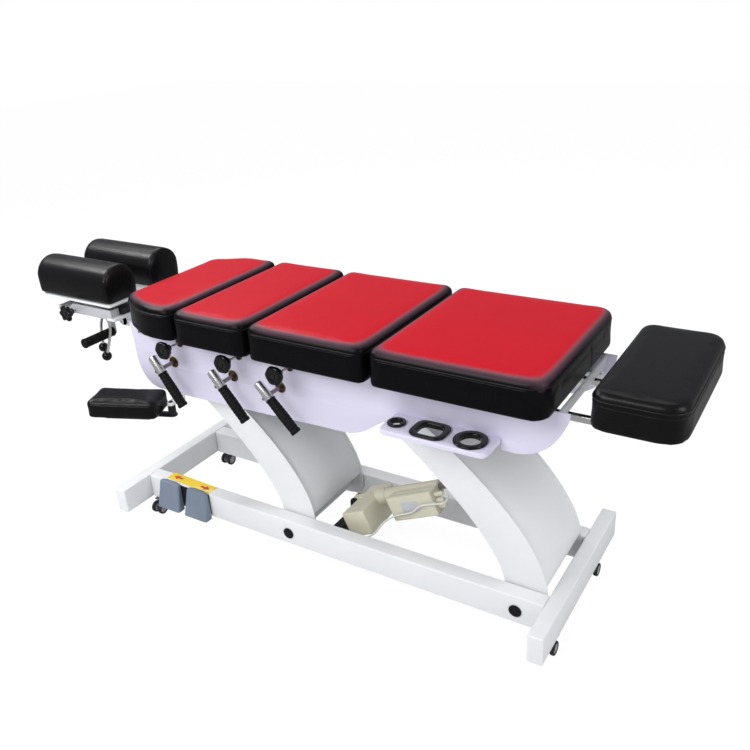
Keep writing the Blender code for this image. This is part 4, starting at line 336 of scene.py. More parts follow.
def capsule(start, end, radius, steps=14):
    """Outline of a bar with round ends."""
    start, end = np.asarray(start, float), np.asarray(end, float)
    along = unit(end - start)
    square = np.array((-along[1], along[0]))
    angle = np.linspace(-math.pi / 2, math.pi / 2, steps)[:, None]
    nose = radius * (np.cos(angle) * along + np.sin(angle) * square)
    return np.concatenate([end + nose, start - nose])


def joined(name, *pieces):
    """Several pieces as one mesh object, each keeping its own shells."""
    points, faces, start = [], [], 0
    for piece in pieces:
        mesh = piece.data
        points.append(points_of(mesh))
        faces += [[v + start for v in face.vertices] for face in mesh.polygons]
        start += len(mesh.vertices)
        bpy.data.objects.remove(piece)
    return new_piece(name, np.concatenate(points), faces, weld=False)


# Finishes

def node(tree, kind, links=None, **settings):
    """A shader node with its settings, and its inputs linked or set by name or number."""
    made = tree.nodes.new(kind)
    for key, value in settings.items():
        setattr(made, key, value)
    for key, value in (links or {}).items():
        socket = made.inputs[key]
        if isinstance(value, bpy.types.NodeSocket):
            tree.links.new(value, socket)
        else:
            socket.default_value = value
    return made


def math_node(tree, operation, *values):
    """The result of one sum of numbers or sockets."""
    return node(tree, "ShaderNodeMath", dict(enumerate(values)), operation=operation).outputs[0]


def noise(tree, place, scale, detail, **more):
    """The outputs of a noise texture read at a place."""
    given = {"Vector": place, "Scale": scale, "Detail": detail, **more}
    return node(tree, "ShaderNodeTexNoise", given).outputs


def effect(name, scale, outputs):
    """An empty shader group that takes a place and a scale, with its named outputs."""
    tree = bpy.data.node_groups.new(name, "ShaderNodeTree")
    tree.interface.new_socket("Vector", in_out="INPUT", socket_type="NodeSocketVector")
    size = tree.interface.new_socket("Scale", in_out="INPUT", socket_type="NodeSocketFloat")
    size.default_value = scale
    for label in outputs:
        tree.interface.new_socket(label, in_out="OUTPUT", socket_type="NodeSocketFloat")
    return tree, tree.nodes.new("NodeGroupInput").outputs, tree.nodes.new("NodeGroupOutput").inputs


def leather_grain():
    """Hide pattern: rounded cells with creases between them, broken up by a finer noise."""
    tree, given, out = effect("leather grain", 700.0, ["Height", "Crease"])
    bend = noise(tree, given["Vector"], 90.0, 2.0)
    shift = node(tree, "ShaderNodeVectorMath", {0: bend["Color"], 1: (0.004, 0.004, 0.004)},
                 operation="MULTIPLY")
    place = node(tree, "ShaderNodeVectorMath", {0: given["Vector"], 1: shift.outputs[0]},
                 operation="ADD")
    cell = node(tree, "ShaderNodeTexVoronoi", {"Vector": place.outputs[0], "Scale": given["Scale"]},
                feature="DISTANCE_TO_EDGE")
    dome = node(tree, "ShaderNodeMapRange", {"Value": cell.outputs["Distance"], "From Max": 0.22},
                interpolation_type="SMOOTHSTEP")
    fine = noise(tree, given["Vector"], given["Scale"], 3.0)
    part = math_node(tree, "MULTIPLY", fine["Fac"], 0.35)
    whole = math_node(tree, "ADD", dome.outputs[0], part)
    tree.links.new(whole, out["Height"])
    tree.links.new(math_node(tree, "SUBTRACT", 1.0, dome.outputs[0]), out["Crease"])
    return tree


def orange_peel():
    """Sprayed coat: a soft rolling noise with a fine speckle on it."""
    tree, given, out = effect("orange peel", 500.0, ["Height", "Speckle"])
    roll = noise(tree, given["Vector"], given["Scale"], 1.0)
    finer = math_node(tree, "MULTIPLY", given["Scale"], 4.0)
    speck = noise(tree, given["Vector"], finer, 2.0)
    part = math_node(tree, "MULTIPLY", speck["Fac"], 0.25)
    tree.links.new(math_node(tree, "ADD", roll["Fac"], part), out["Height"])
    tree.links.new(speck["Fac"], out["Speckle"])
    return tree


def brushed_lines():
    """Drawn metal: a noise stretched along one axis by dividing that coordinate."""
    tree, given, out = effect("brushed lines", 900.0, ["Height", "Speckle"])
    squeeze = node(tree, "ShaderNodeMapping", {"Vector": given["Vector"], "Scale": (0.04, 0.6, 1.0)})
    lines = noise(tree, squeeze.outputs[0], given["Scale"], 3.0)
    for label in ("Height", "Speckle"):
        tree.links.new(lines["Fac"], out[label])
    return tree


def handling_marks():
    """Uneven dulling from use: broad clouds, sharpened, with thin scuffs laid over them."""
    tree, given, out = effect("handling marks", 6.0, ["Clouds", "Scuffs"])
    cloud = noise(tree, given["Vector"], given["Scale"], 5.0, Roughness=0.6)
    sharp = node(tree, "ShaderNodeMapRange", {"Value": cloud["Fac"], "From Min": 0.35,
                                              "From Max": 0.75})
    stretch = node(tree, "ShaderNodeMapping", {"Vector": given["Vector"], "Scale": (1.0, 1.0, 0.25),
                                               "Rotation": (0.3, 0.5, 0.8)})
    line = noise(tree, stretch.outputs[0], 160.0, 2.0)
    thin = node(tree, "ShaderNodeMapRange", {"Value": line["Fac"], "From Min": 0.62,
                                             "From Max": 0.72})
    few = math_node(tree, "MULTIPLY", thin.outputs[0], sharp.outputs[0])
    tree.links.new(sharp.outputs[0], out["Clouds"])
    tree.links.new(few, out["Scuffs"])
    return tree


GRAIN = leather_grain()
PEEL = orange_peel()
BRUSHED = brushed_lines()
MARKS = handling_marks()


def finish_of(name, colour, dull, metallic=0.0, coat=0.0, relief=PEEL, scale=500.0, depth=0.00006,
              marks=0.06, marks_scale=6.0, rough_swing=0.08, specular=0.5):
    """A material: colour dulled by handling marks, roughness by relief, and bump from relief."""
    made = bpy.data.materials.new(name)
    made.use_nodes = True
    tree = made.node_tree
    shader = tree.nodes["Principled BSDF"]
    place = node(tree, "ShaderNodeTexCoord").outputs["Object"]
    fine = node(tree, "ShaderNodeGroup", node_tree=relief)
    worn = node(tree, "ShaderNodeGroup", node_tree=MARKS)
    for group, size in ((fine, scale), (worn, marks_scale)):
        tree.links.new(place, group.inputs["Vector"])
        group.inputs["Scale"].default_value = size
    amount = math_node(tree, "MULTIPLY", worn.outputs["Clouds"], marks)
    darker = tuple(channel * 0.55 for channel in colour)
    tint = node(tree, "ShaderNodeMix", {"Factor": amount, "A": (*colour, 1), "B": (*darker, 1)},
                data_type="RGBA")
    tree.links.new(tint.outputs["Result"], shader.inputs["Base Color"])
    swing = node(tree, "ShaderNodeMapRange", {"Value": fine.outputs[1], "To Min": dull - rough_swing,
                                              "To Max": dull + rough_swing})
    scuffed = math_node(tree, "MULTIPLY_ADD", worn.outputs["Scuffs"], 0.25, swing.outputs[0])
    tree.links.new(scuffed, shader.inputs["Roughness"])
    bump = node(tree, "ShaderNodeBump", {"Height": fine.outputs["Height"], "Distance": depth,
                                         "Strength": 1.0})
    tree.links.new(bump.outputs[0], shader.inputs["Normal"])
    for label, value in (("Metallic", metallic), ("Specular IOR Level", specular),
                         ("Coat Weight", coat), ("Coat Roughness", 0.12)):
        shader.inputs[label].default_value = value
    return made


VINYL_BLACK = (0.0030, 0.0028, 0.0036)
# Painted sheen: a pale mauve that stands in for the glossy reflection along the cushions' shoulders, laid
# into the fade of the red dye to black.
RIM_MAUVE_PAINTED_SHEEN = (0.1400, 0.0740, 0.0980)


def two_tone_vinyl():
    """Red top panel: the piece's inset attribute fades it into the black of the sides, through a mauve band
    that is painted sheen.
    """
    made = finish_of("red panel vinyl", (0.500, 0.0050, 0.0150), 0.30, relief=GRAIN, scale=900.0,
                     depth=0.00002, marks=0.10, specular=0.09)
    tree = made.node_tree
    shader = tree.nodes["Principled BSDF"]
    panel = shader.inputs["Base Color"].links[0].from_socket
    inset = node(tree, "ShaderNodeAttribute", attribute_name="inset").outputs["Fac"]
    fade = node(tree, "ShaderNodeValToRGB", {"Fac": inset})
    fade.color_ramp.interpolation = "EASE"
    # Edge band: black vinyl at the very edge, then the mauve of painted sheen before the red begins.
    edge = node(tree, "ShaderNodeValToRGB", {"Fac": inset})
    for ramp, stops in ((fade, ((0.12, (0.0, 0.0, 0.0)), (0.33, (1.0, 1.0, 1.0)))),
                        (edge, ((0.03, VINYL_BLACK), (0.20, RIM_MAUVE_PAINTED_SHEEN)))):
        for element, (position, colour) in zip(ramp.color_ramp.elements, stops):
            element.position = position
            element.color = (*colour, 1)
    blend = node(tree, "ShaderNodeMix", {"Factor": fade.outputs["Color"],
                                         "A": edge.outputs["Color"], "B": panel},
                 data_type="RGBA")
    tree.links.new(blend.outputs["Result"], shader.inputs["Base Color"])
    return made


LOOKS = {
    "white": finish_of("white powder coat", (0.80, 0.81, 0.82), 0.36, coat=0.2, marks=0.07),
    "skirt": finish_of("lilac white sheet coat", (0.700, 0.668, 0.815), 0.34, coat=0.2, marks=0.06),
    "plate": finish_of("grey plate coat", (0.42, 0.43, 0.45), 0.45, metallic=0.2, marks=0.25),
    "zinc": finish_of("dull zinc", (0.16, 0.18, 0.18), 0.42, metallic=0.75, marks=0.4,
                      marks_scale=60.0),
    "black_steel": finish_of("black steel", (0.012, 0.012, 0.014), 0.40, marks=0.2, specular=0.35),
    "tray": finish_of("pale grey sheet coat", (0.60, 0.605, 0.63), 0.38, metallic=0.15, marks=0.2),
    "steel": finish_of("drawn steel", (0.56, 0.52, 0.49), 0.30, metallic=1.0, relief=BRUSHED,
                       scale=900.0, depth=0.00003, marks=0.35, marks_scale=40.0),
    "chrome": finish_of("satin chrome", (0.88, 0.87, 0.86), 0.27, metallic=1.0, relief=BRUSHED,
                        scale=700.0, depth=0.000005, marks=0.2, marks_scale=30.0, rough_swing=0.05),
    "shaft": finish_of("dark drawn steel", (0.30, 0.26, 0.27), 0.34, metallic=1.0, relief=BRUSHED,
                       scale=900.0, depth=0.00002, marks=0.3, marks_scale=40.0),
    "brass": finish_of("brass plate", (0.52, 0.40, 0.20), 0.34, metallic=1.0, marks=0.3,
                       marks_scale=60.0),
    "gloss": finish_of("moulded gloss black", (0.004, 0.004, 0.0045), 0.12, depth=0.00001,
                       marks=0.3, marks_scale=30.0, rough_swing=0.04, specular=0.35),
    "rubber": finish_of("grip rubber", (0.007, 0.007, 0.0075), 0.52, scale=1600.0, depth=0.00006,
                        marks=0.5, marks_scale=25.0, specular=0.15),
    "tyre": finish_of("tyre rubber", (0.018, 0.018, 0.019), 0.62, scale=1800.0, depth=0.00008,
                      marks=0.5, marks_scale=60.0),
    "hub": finish_of("hub plastic", (0.42, 0.42, 0.41), 0.42, marks=0.4, marks_scale=50.0),
    "beige": finish_of("beige moulded plastic", (0.66, 0.63, 0.49), 0.50, scale=1500.0,
                       depth=0.00012, marks=0.12, marks_scale=12.0),
    "pedal": finish_of("blue grey moulded plastic", (0.182, 0.222, 0.290), 0.52, scale=1400.0,
                       depth=0.00014, marks=0.2, marks_scale=25.0),
    "lining": finish_of("raw hole edge", (0.17, 0.105, 0.045), 0.45, metallic=0.6, marks=0.5,
                        marks_scale=80.0),
    "lead": finish_of("lead sleeve", (0.72, 0.73, 0.66), 0.45, scale=1200.0, marks=0.1),
    "strip": finish_of("yellow strip film", (0.86, 0.62, 0.02), 0.35, coat=0.4, marks=0.1),
    "arrow": finish_of("red strip print", (0.55, 0.035, 0.02), 0.40, marks=0.1),
    "badge": finish_of("bare foil plate", (0.62, 0.63, 0.66), 0.34, metallic=0.3, marks=0.1),
    "vinyl": finish_of("black vinyl", VINYL_BLACK, 0.32, relief=GRAIN, scale=900.0,
                       depth=0.00002, marks=0.35, marks_scale=9.0, specular=0.22),
    "piping": finish_of("black welt vinyl", (0.006, 0.006, 0.007), 0.28, relief=GRAIN, scale=1500.0,
                        depth=0.00004, marks=0.2, specular=0.30),
    "board": finish_of("black dust cloth", (0.02, 0.02, 0.022), 0.85, scale=1500.0, depth=0.0002,
                       marks=0.4, marks_scale=14.0),
    "panel": two_tone_vinyl(),
}


def dress(piece, look, body, *nodes):
    """Gives a piece its material, its body and the nodes that it stands for."""
    piece.data.materials.clear()
    piece.data.materials.append(LOOKS[look])
    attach(piece, body)
    if nodes:
        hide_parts(*nodes)
    return piece


# Upholstery

def half_planes(corners):
    """Each side of a convex plan as a unit normal pointing inwards and its offset."""
    corners = np.asarray(corners, float)
    area = np.cross(corners, np.roll(corners, -1, 0)).sum()
    if area < 0:
        corners = corners[::-1]
    side = unit(np.roll(corners, -1, 0) - corners)
    inward = np.stack([-side[:, 1], side[:, 0]], 1)
    return inward, (inward * corners).sum(1), corners


def depth_inside(corners, xy):
    """Distance inside a convex plan, rounded over its corners by a soft minimum."""
    blend = 0.016
    inward, offset, _ = half_planes(corners)
    distance = np.asarray(xy) @ inward.T - offset
    return -blend * np.log(np.exp(-distance / blend).sum(1))


def shrunk(corners, distance):
    """A convex plan with every side moved inwards by a distance."""
    inward, offset, _ = half_planes(corners)
    before = np.roll(inward, 1, 0)
    before_offset = np.roll(offset, 1)
    pairs = np.stack([before, inward], 1)
    wanted = np.stack([before_offset + distance, offset + distance], 1)
    return np.linalg.solve(pairs, wanted[..., None])[..., 0]


def plan_ring(corners, radii, inset, steps=10):
    """A level outline of a cushion: the plan moved in, its corners rounded."""
    _, _, ordered = half_planes(corners)
    radius = np.maximum(np.asarray(radii) - inset, 0.008) * 1.08
    return soften(shrunk(ordered, inset), radius, steps)


def rings_at(corners, radii, rows, steps=10):
    """Rings of one plan, each moved in by its inset and set at its level."""
    rings = []
    for inset, level in rows:
        ring = plan_ring(corners, radii, inset, steps)
        rings.append(np.column_stack([ring, np.full(len(ring), level)]))
    return np.array(rings)


def cushion_form(name, corners, radii, underside, seam, top, slack=0.0):
    """A padded block: rings of its plan go up the sides, over a round shoulder and onto a crown.

    The side pulls in halfway up, the shoulder is a quarter ellipse, and the top rises towards
    its middle by a quarter sine of the distance from the edge.
    """
    rows = []
    for share, inset in ((0.0, 0.008), (0.0, 0.004), (0.03, 0.001), (0.09, 0.0), (0.35, 0.0008),
                         (0.6, 0.0012), (0.85, 0.0006), (1.0, 0.0)):
        rows.append((inset + slack, underside + (seam - underside) * share))
    for turn in np.linspace(0, math.pi / 2, 9)[1:]:
        rows.append((CUSHION_SHOULDER * (1 - math.cos(turn)) + slack,
                     seam + (top - seam - CUSHION_CROWN) * math.sin(turn)))
    for inset in (0.030, 0.046, 0.065):
        rise = math.sin(min(inset / 0.07, 1.0) * math.pi / 2)
        rows.append((inset + slack, top - CUSHION_CROWN + CUSHION_CROWN * rise))
    return surface(name, rings_at(corners, radii, rows), sharp=180)


def even_mesh(piece, voxel):
    """The piece's own mesh remade in even quads, with no modifier left on it."""
    remesh = piece.modifiers.new("even quads", "REMESH")
    remesh.mode = "VOXEL"
    remesh.voxel_size = voxel
    remesh.use_smooth_shade = True
    bpy.context.view_layer.update()
    graph = bpy.context.evaluated_depsgraph_get()
    made = bpy.data.meshes.new_from_object(piece.evaluated_get(graph))
    piece.modifiers.clear()
    piece.data = made


def put_points(piece, points):
    """Writes an array of points back into a mesh."""
    piece.data.vertices.foreach_set("co", np.asarray(points, float).reshape(-1))
    piece.data.update()


def inflate(piece, held_below, cap, pressure):
    """Cloth with air in it: the skin swells from its drawn shape, and no point moves past the cap."""
    last = 16
    start = points_of(piece.data)
    group = piece.vertex_groups.new(name="held")
    held = np.nonzero(start[:, 2] < held_below)[0]
    group.add(held.tolist(), 1.0, "REPLACE")
    cloth = piece.modifiers.new("air", "CLOTH")
    for key, value in {"use_pressure": True, "uniform_pressure_force": pressure,
                       "vertex_group_mass": "held", "quality": 4, "mass": 0.4,
                       "tension_stiffness": 25, "compression_stiffness": 25,
                       "shear_stiffness": 10, "bending_stiffness": 2}.items():
        setattr(cloth.settings, key, value)
    cloth.settings.effector_weights.gravity = 0
    cloth.collision_settings.use_collision = False
    cloth.point_cache.frame_start = 1
    cloth.point_cache.frame_end = last
    scene = bpy.context.scene
    for step in range(1, last + 1):
        scene.frame_set(step)
    graph = bpy.context.evaluated_depsgraph_get()
    swollen = piece.evaluated_get(graph).to_mesh()
    end = points_of(swollen)
    piece.evaluated_get(graph).to_mesh_clear()
    scene.frame_set(1)
    piece.modifiers.clear()
    piece.vertex_groups.clear()
    move = end - start
    length = np.linalg.norm(move, axis=1, keepdims=True) + 1e-12
    put_points(piece, start + move / length * cap * np.tanh(length / cap))


def fill_pad(pad, underside, voxel, cap, pressure):
    """Gives a drawn pad even quads and air, and lets no point sag below its underside."""
    even_mesh(pad, voxel)
    inflate(pad, underside + 0.004, cap, pressure)
    points = points_of(pad.data)
    points[:, 2] = np.maximum(points[:, 2], underside)
    put_points(pad, points)


def round_off(piece):
    """One smooth subdivision over the simulated skin."""
    smooth = piece.modifiers.new("smooth", "SUBSURF")
    smooth.levels = 1
    smooth.render_levels = 1


def mark_inset(piece, corners, seam):
    """Writes how far each point lies inside the top's edge, as a share of 0.1 m, for the dye and its
    painted sheen.
    """
    points = points_of(piece.data)
    inside = depth_inside(corners, points[:, :2])
    value = np.clip(inside / 0.1, 0, 1) * (points[:, 2] > seam - 0.004)
    layer = piece.data.attributes.new("inset", "FLOAT", "POINT")
    layer.data.foreach_set("value", value.astype(np.float32))


def snapped(piece, path):
    """A path laid on a piece's skin: each point goes to the nearest point of the skin."""
    graph = bpy.context.evaluated_depsgraph_get()
    tree = BVHTree.FromObject(piece, graph)
    return np.array([tree.find_nearest(Vector(point))[0] for point in path])


def relaxed(path, closed=True, rounds=6):
    """A path with each point moved towards the mean of its neighbours."""
    for _ in range(rounds):
        mean = (np.roll(path, 1, 0) + np.roll(path, -1, 0)) / 2
        if not closed:
            mean[0], mean[-1] = path[0], path[-1]
        path = (path + mean) / 2
    return path


def welt(name, piece, path, radius, closed=True, count=260):
    """A welt cord half sunk in a cushion's skin along a path."""
    path = evenly(np.asarray(path, float), count, closed)
    laid = relaxed(snapped(piece, path), closed)
    tip = unit(laid[-1] - laid[0]) if not closed else UP
    guide = UP if closed or abs(tip[2]) < 0.8 else np.array((0.0, 1.0, 0.0))
    return swept(name, laid, round_section(radius, 8), up=guide, closed=closed, sharp=180)


def body_cushion(name, body, corners, radii, levels, look, node_name, second=0.0052):
    """A cushion with its air, its two-tone dye with painted sheen at the edge, a welt at the seam and a
    cloth-covered board.
    """
    underside, seam, top = levels
    pad = cushion_form(name, corners, radii, underside, seam, top, slack=0.001)
    fill_pad(pad, underside, voxel=0.0068, cap=0.0016, pressure=4.0)
    mark_inset(pad, corners, seam)
    round_off(pad)
    dress(pad, look, body, node_name)
    paths = rings_at(corners, radii, ((0.0, seam + 0.0005), (0.0, seam - second)))
    for index, (path, radius) in enumerate(zip(paths, WELT_RADII)):
        dress(welt(f"{name}_welt_{index + 1}", pad, path, radius), "piping", body)
    board = rings_at(corners, radii, ((0.020, underside - 0.0002), (0.020, underside + 0.003)))
    dress(surface(f"{name}_board", board, sharp=30), "board", body)
    return pad


def upright_seam(name, pad, body, x, y, low, high):
    """A sewn joint that runs up a cushion's side."""
    cord = welt(name, pad, upright(x, y, low, high, 30), 0.0009, closed=False, count=30)
    return dress(cord, "piping", body)


def upholster_body():
    """The four body cushions and the foot cushion."""
    levels = (CUSHION_UNDERSIDE, CUSHION_SEAM, CUSHION_TOP)
    half = CUSHION_HALF_WIDTH
    corner = CUSHION_CORNER
    radii = [0.045, corner, corner, 0.045, 0.032, 0.032]
    body_cushion("chest_pad", "chest", CHEST_PLAN, radii, levels, "panel", "chest_cushion")
    for section, (left, right) in SECTION_SPANS.items():
        plan = rectangle(left, right, -half, half)
        body_cushion(section + "_pad", section, plan, [corner] * 4, levels, "panel",
                     section + "_cushion")
    left, right = PELVIC_SPAN
    plan = rectangle(left, right, -half, half)
    radii = [corner, PELVIC_END_CORNER, PELVIC_END_CORNER, corner]
    pad = body_cushion("pelvic_pad", "top", plan, radii, levels, "panel", "pelvic_cushion")
    upright_seam("pelvic_end_seam", pad, "top", right, 0.060, CUSHION_UNDERSIDE + 0.006,
                 CUSHION_SEAM - 0.004)
    left, right = FOOT_SPAN
    half = FOOT_HALF_WIDTH
    plan = rectangle(left, right, -half, half)
    body_cushion("foot_pad", "foot_section", plan, [0.044, 0.060, 0.060, 0.044],
                 (FOOT_UNDERSIDE, FOOT_SEAM, FOOT_TOP), "vinyl", "foot_cushion", second=0.0120)


ARCH_POINTS = 44


def arch_section(half, low, spring, top):
    """A head cushion's end outline: upright sides that lean in a little under a round arch."""
    angle = np.linspace(0, math.pi, ARCH_POINTS)
    arch = np.column_stack([half * np.cos(angle), spring + (top - spring) * np.sin(angle)])
    foot = np.array([(-half * 0.985, low + 0.5 * (spring - low)), (-half * 0.95, low + 0.004),
                     (-half * 0.90, low), (half * 0.90, low), (half * 0.95, low + 0.004),
                     (half * 0.985, low + 0.5 * (spring - low))])
    return np.concatenate([arch, foot])


def head_pad(name, body, y):
    """A half-round head cushion: its arch carried along X, drawn in round both ends."""
    left, right = HEAD_SPAN
    half = HEAD_WIDTH / 2 - 0.002
    rings = []
    ends = []
    for x, inset in ((left + 0.002, 0.016), (left + 0.0035, 0.007), (left + 0.008, 0.002),
                     (left + 0.015, 0.0), (left + 0.12, -0.0005), (right - 0.12, -0.0005),
                     (right - 0.015, 0.0), (right - 0.008, 0.002), (right - 0.0035, 0.007),
                     (right - 0.002, 0.016)):
        ring = arch_section(half - inset, HEAD_UNDERSIDE, HEAD_SPRING, HEAD_TOP - 0.002 - inset)
        rings.append(np.column_stack([np.full(len(ring), x), ring[:, 0] + y, ring[:, 1]]))
        if abs(inset - 0.002) < 1e-6:
            ends.append(rings[-1][:ARCH_POINTS])
    pad = surface(name, np.array(rings), sharp=180)
    fill_pad(pad, HEAD_UNDERSIDE, voxel=0.007, cap=0.003, pressure=3.0)
    round_off(pad)
    dress(pad, "vinyl", body, body)
    for index, end in enumerate(ends):
        start = upright(end[0, 0], end[0, 1] - 0.001, HEAD_UNDERSIDE + 0.003, end[0, 2], 12)
        last = upright(end[-1, 0], end[-1, 1] + 0.001, end[-1, 2], HEAD_UNDERSIDE + 0.003, 12)
        path = evenly(np.concatenate([start[:-1], end, last[1:]]), 150)
        laid = relaxed(snapped(pad, path), False, 3)
        tangent = unit(np.gradient(laid, axis=0))
        lengthways = np.array((1.0, 0.0, 0.0))
        side = unit(np.cross(tangent, lengthways))
        section = round_section(0.0016, 8)
        grid = laid[:, None] + section[None, :, 0, None] * side[:, None] \
            + section[None, :, 1, None] * lengthways
        dress(surface(f"{name}_welt_{index + 1}", grid, sharp=180), "piping", body)
    return pad


def arm_pad(name, body, side):
    """A flat armrest pad on its bar, square to the way that the bar points."""
    yaw = math.radians(ARM_PAD_YAW)
    heading = np.array((-math.cos(yaw), side * math.sin(yaw)))
    square = np.array((heading[1], -heading[0])) * side
    start = np.array((ARM_HINGE[0], side * ARM_HINGE[1])) + heading * 0.018 - square * 0.034
    wide, long = square * ARM_PAD_WIDTH, heading * ARM_PAD_LENGTH
    plan = [start, start + wide, start + wide + long, start + long]
    radii = [ARM_PAD_CORNER] * 4
    low = ARM_PAD_UNDERSIDE
    pad = cushion_form(name, plan, radii, low, low + ARM_PAD_SEAM, low + ARM_PAD_HEIGHT, slack=0.001)
    fill_pad(pad, low, voxel=0.0055, cap=0.0025, pressure=3.0)
    round_off(pad)
    dress(pad, "vinyl", body, name.replace("_cover", "_pad"))
    board = rings_at(plan, radii, ((0.040, 0.4361), (0.040, low + 0.002)))
    dress(surface(name + "_board", board, sharp=30), "board", body)
    path = rings_at(plan, radii, ((0.0, low + ARM_PAD_SEAM),))[0]
    dress(welt(name + "_welt", pad, path, 0.0014, count=160), "piping", body)
    return pad


# Lift arms

def arm_line(share):
    """The arm's middle line as a cubic Bezier curve, with its square direction and half depth."""
    chord = np.subtract(UPPER_PIVOT, LOWER_PIVOT)
    length = np.linalg.norm(chord)
    along = chord / length
    square = np.array((along[1], -along[0]))
    handles = np.array(((0.0, 0.006), (0.080, 0.135), (0.470, 0.097), (length, 0.0)))
    s = np.asarray(share, float)[:, None]
    weights = np.concatenate([(1 - s) ** 3, 3 * s * (1 - s) ** 2, 3 * s ** 2 * (1 - s), s ** 3], 1)
    local = weights @ handles
    slope = np.concatenate([-3 * (1 - s) ** 2, 3 * (1 - s) * (1 - 3 * s), 3 * s * (2 - 3 * s),
                            3 * s ** 2], 1) @ handles
    place = LOWER_PIVOT + local[:, :1] * along + local[:, 1:] * square
    ahead = unit(slope[:, :1] * along + slope[:, 1:] * square)
    depth = ARM_FOOT_DEPTH + (ARM_TOP_DEPTH - ARM_FOOT_DEPTH) * s ** 2
    return place, np.stack([ahead[:, 1], -ahead[:, 0]], 1), depth


def arm_side(side, inset, first=0.0, last=1.0, count=48):
    """One edge of an arm: its middle line moved square to itself by the half depth."""
    place, square, depth = arm_line(np.linspace(first, last, count))
    return place + square * side * (depth - inset)


def arm_outline():
    """Both edges of an arm, a half-round top and a flattened half-round foot."""
    up = arm_side(1, 0.0)
    down = arm_side(-1, 0.0)[::-1]
    place, square, depth = arm_line(np.array((0.0, 1.0)))
    angle = np.linspace(0, math.pi, 26)[1:-1, None]
    onward = np.array((-square[1, 1], square[1, 0]))
    top = place[1] + depth[1] * (np.cos(angle) * square[1] + np.sin(angle) * onward)
    low = place[0] + np.concatenate([-np.cos(angle) * depth[0], -np.sin(angle) * 0.042], 1)
    return np.concatenate([up, top, down, low])


def lift_arm(name, shift, lugs):
    """A box arm: two cheeks with proud edges, skins sunk between them and bearing tubes."""
    pieces = []
    outline = arm_outline()
    for side in (-1, 1):
        faces = span(side, ARM_HALF_WIDTH - 0.005, ARM_HALF_WIDTH)
        pieces.append(flat_sheet("cheek", [outline], *faces, bevel=0.0012))
        for edge in (-1, 1):
            bead = arm_side(edge, 0.0046, 0.10, 0.90)
            path = np.column_stack([bead[:, 0], np.full(len(bead), side * (ARM_HALF_WIDTH - 0.0052)),
                                    bead[:, 1]])
            pieces.append(swept("bead", path, round_section(0.0019, 8), up=(0, 1, 0)))
    for edge in (-1, 1):
        strip = np.concatenate([arm_side(edge, 0.005, 0.10, 0.90),
                                arm_side(edge, 0.009, 0.10, 0.90)[::-1]])
        pieces.append(flat_sheet("skin", [strip], -ARM_HALF_WIDTH + 0.004, ARM_HALF_WIDTH - 0.004,
                                 bevel=0.0004))
    for x, z in (LOWER_PIVOT, UPPER_PIVOT):
        ring = [(0.022, -0.1440), (0.022, 0.1440), (0.0128, 0.1440), (0.0128, -0.1440)]
        pieces.append(turned("bearing", ring, (x, 0, z), (0, 1, 0), closed=True))
    if lugs:
        front = np.array(ACTUATOR_FRONT) - (PIVOT_SPACING, 0)
        edge = arm_side(-1, 0.007, count=200)
        foot = edge[np.argmin(np.linalg.norm(edge - front, axis=1))]
        for side in (-1, 1):
            faces = span(side, 0.0105, 0.0155)
            pieces.append(flat_sheet("lug", [capsule(front, foot, 0.011)], *faces))
        pin = [(0.0, -0.0185), (0.005, -0.0185), (0.006, -0.0175), (0.006, -0.0156), (0.004, -0.0156),
               (0.004, 0.0156), (0.006, 0.0156), (0.006, 0.0175), (0.005, 0.0185), (0.0, 0.0185)]
        pieces.append(turned("pin", pin, (front[0], 0, front[1]), (0, 1, 0), 24))
    arm = joined(name + "_shell", *pieces)
    arm.data.transform(Matrix.Translation((shift, 0, 0)))
    return dress(arm, "white", name, name)


# Cocking levers and tension knobs

def lever_frame(section, x):
    """A lever's shaft middle and the direction in which its grip points."""
    slope = math.radians(LEVER_SLOPES[section])
    return np.array((x, LEVER_Y, LEVER_Z)), np.array((math.cos(slope), 0.0, -math.sin(slope)))


def domed(radius, length, dome, steps=8):
    """Profile of a rod whose near end is a flattened dome, from its tip to its far face."""
    angle = np.linspace(0, math.pi / 2, steps)
    cap = np.column_stack([radius * np.sin(angle), dome * (1 - np.cos(angle))])
    return np.concatenate([cap, [(radius, length), (0.0, length)]])


def cocking_lever(section, x):
    """Shaft, crank, chrome bar with a domed top and a slimmer neck, and its brass-coloured bolt."""
    body = section + "_lever"
    centre, along = lever_frame(section, x)
    shaft = [(0.0, 0.0), (0.0055, 0.0), (0.0065, 0.001), (0.0065, 0.0985), (0.0, 0.0985)]
    crank = flat_sheet("crank", [capsule((x, LEVER_Z), (x + 0.036, LEVER_Z), 0.008)],
                       -0.1865, -0.1785)
    axle = joined(section + "_axle", turned("shaft", shaft, centre, (0, 1, 0), 28), crank)
    dress(axle, "shaft", body)
    bar_profile = domed(LEVER_RADIUS, LEVER_CHROME, 0.0068, 10)
    core = np.array([(LEVER_RADIUS, LEVER_CHROME), (0.0105, LEVER_CHROME + 0.0008),
                     (0.0088, LEVER_CHROME + 0.001), (0.0088, LEVER_CHROME + 0.004),
                     (0.0, LEVER_CHROME + 0.004)])
    bar = turned(section + "_bar", np.concatenate([bar_profile[:-2], core]),
                 centre - along * LEVER_ABOVE, along, 44)
    dress(bar, "chrome", body, section + "_lever")
    side = np.array((along[2], 0.0, -along[0]))
    bolt = [(0.0, 0.0), (0.0052, 0.0), (0.006, 0.0012), (0.006, 0.006), (0.0042, 0.0062),
            (0.0042, 0.012), (0.0, 0.012)]
    bolt = turned(section + "_bolt", bolt, centre + side * 0.0240, -side, 6, sharp=25)
    return dress(bolt, "brass", body)


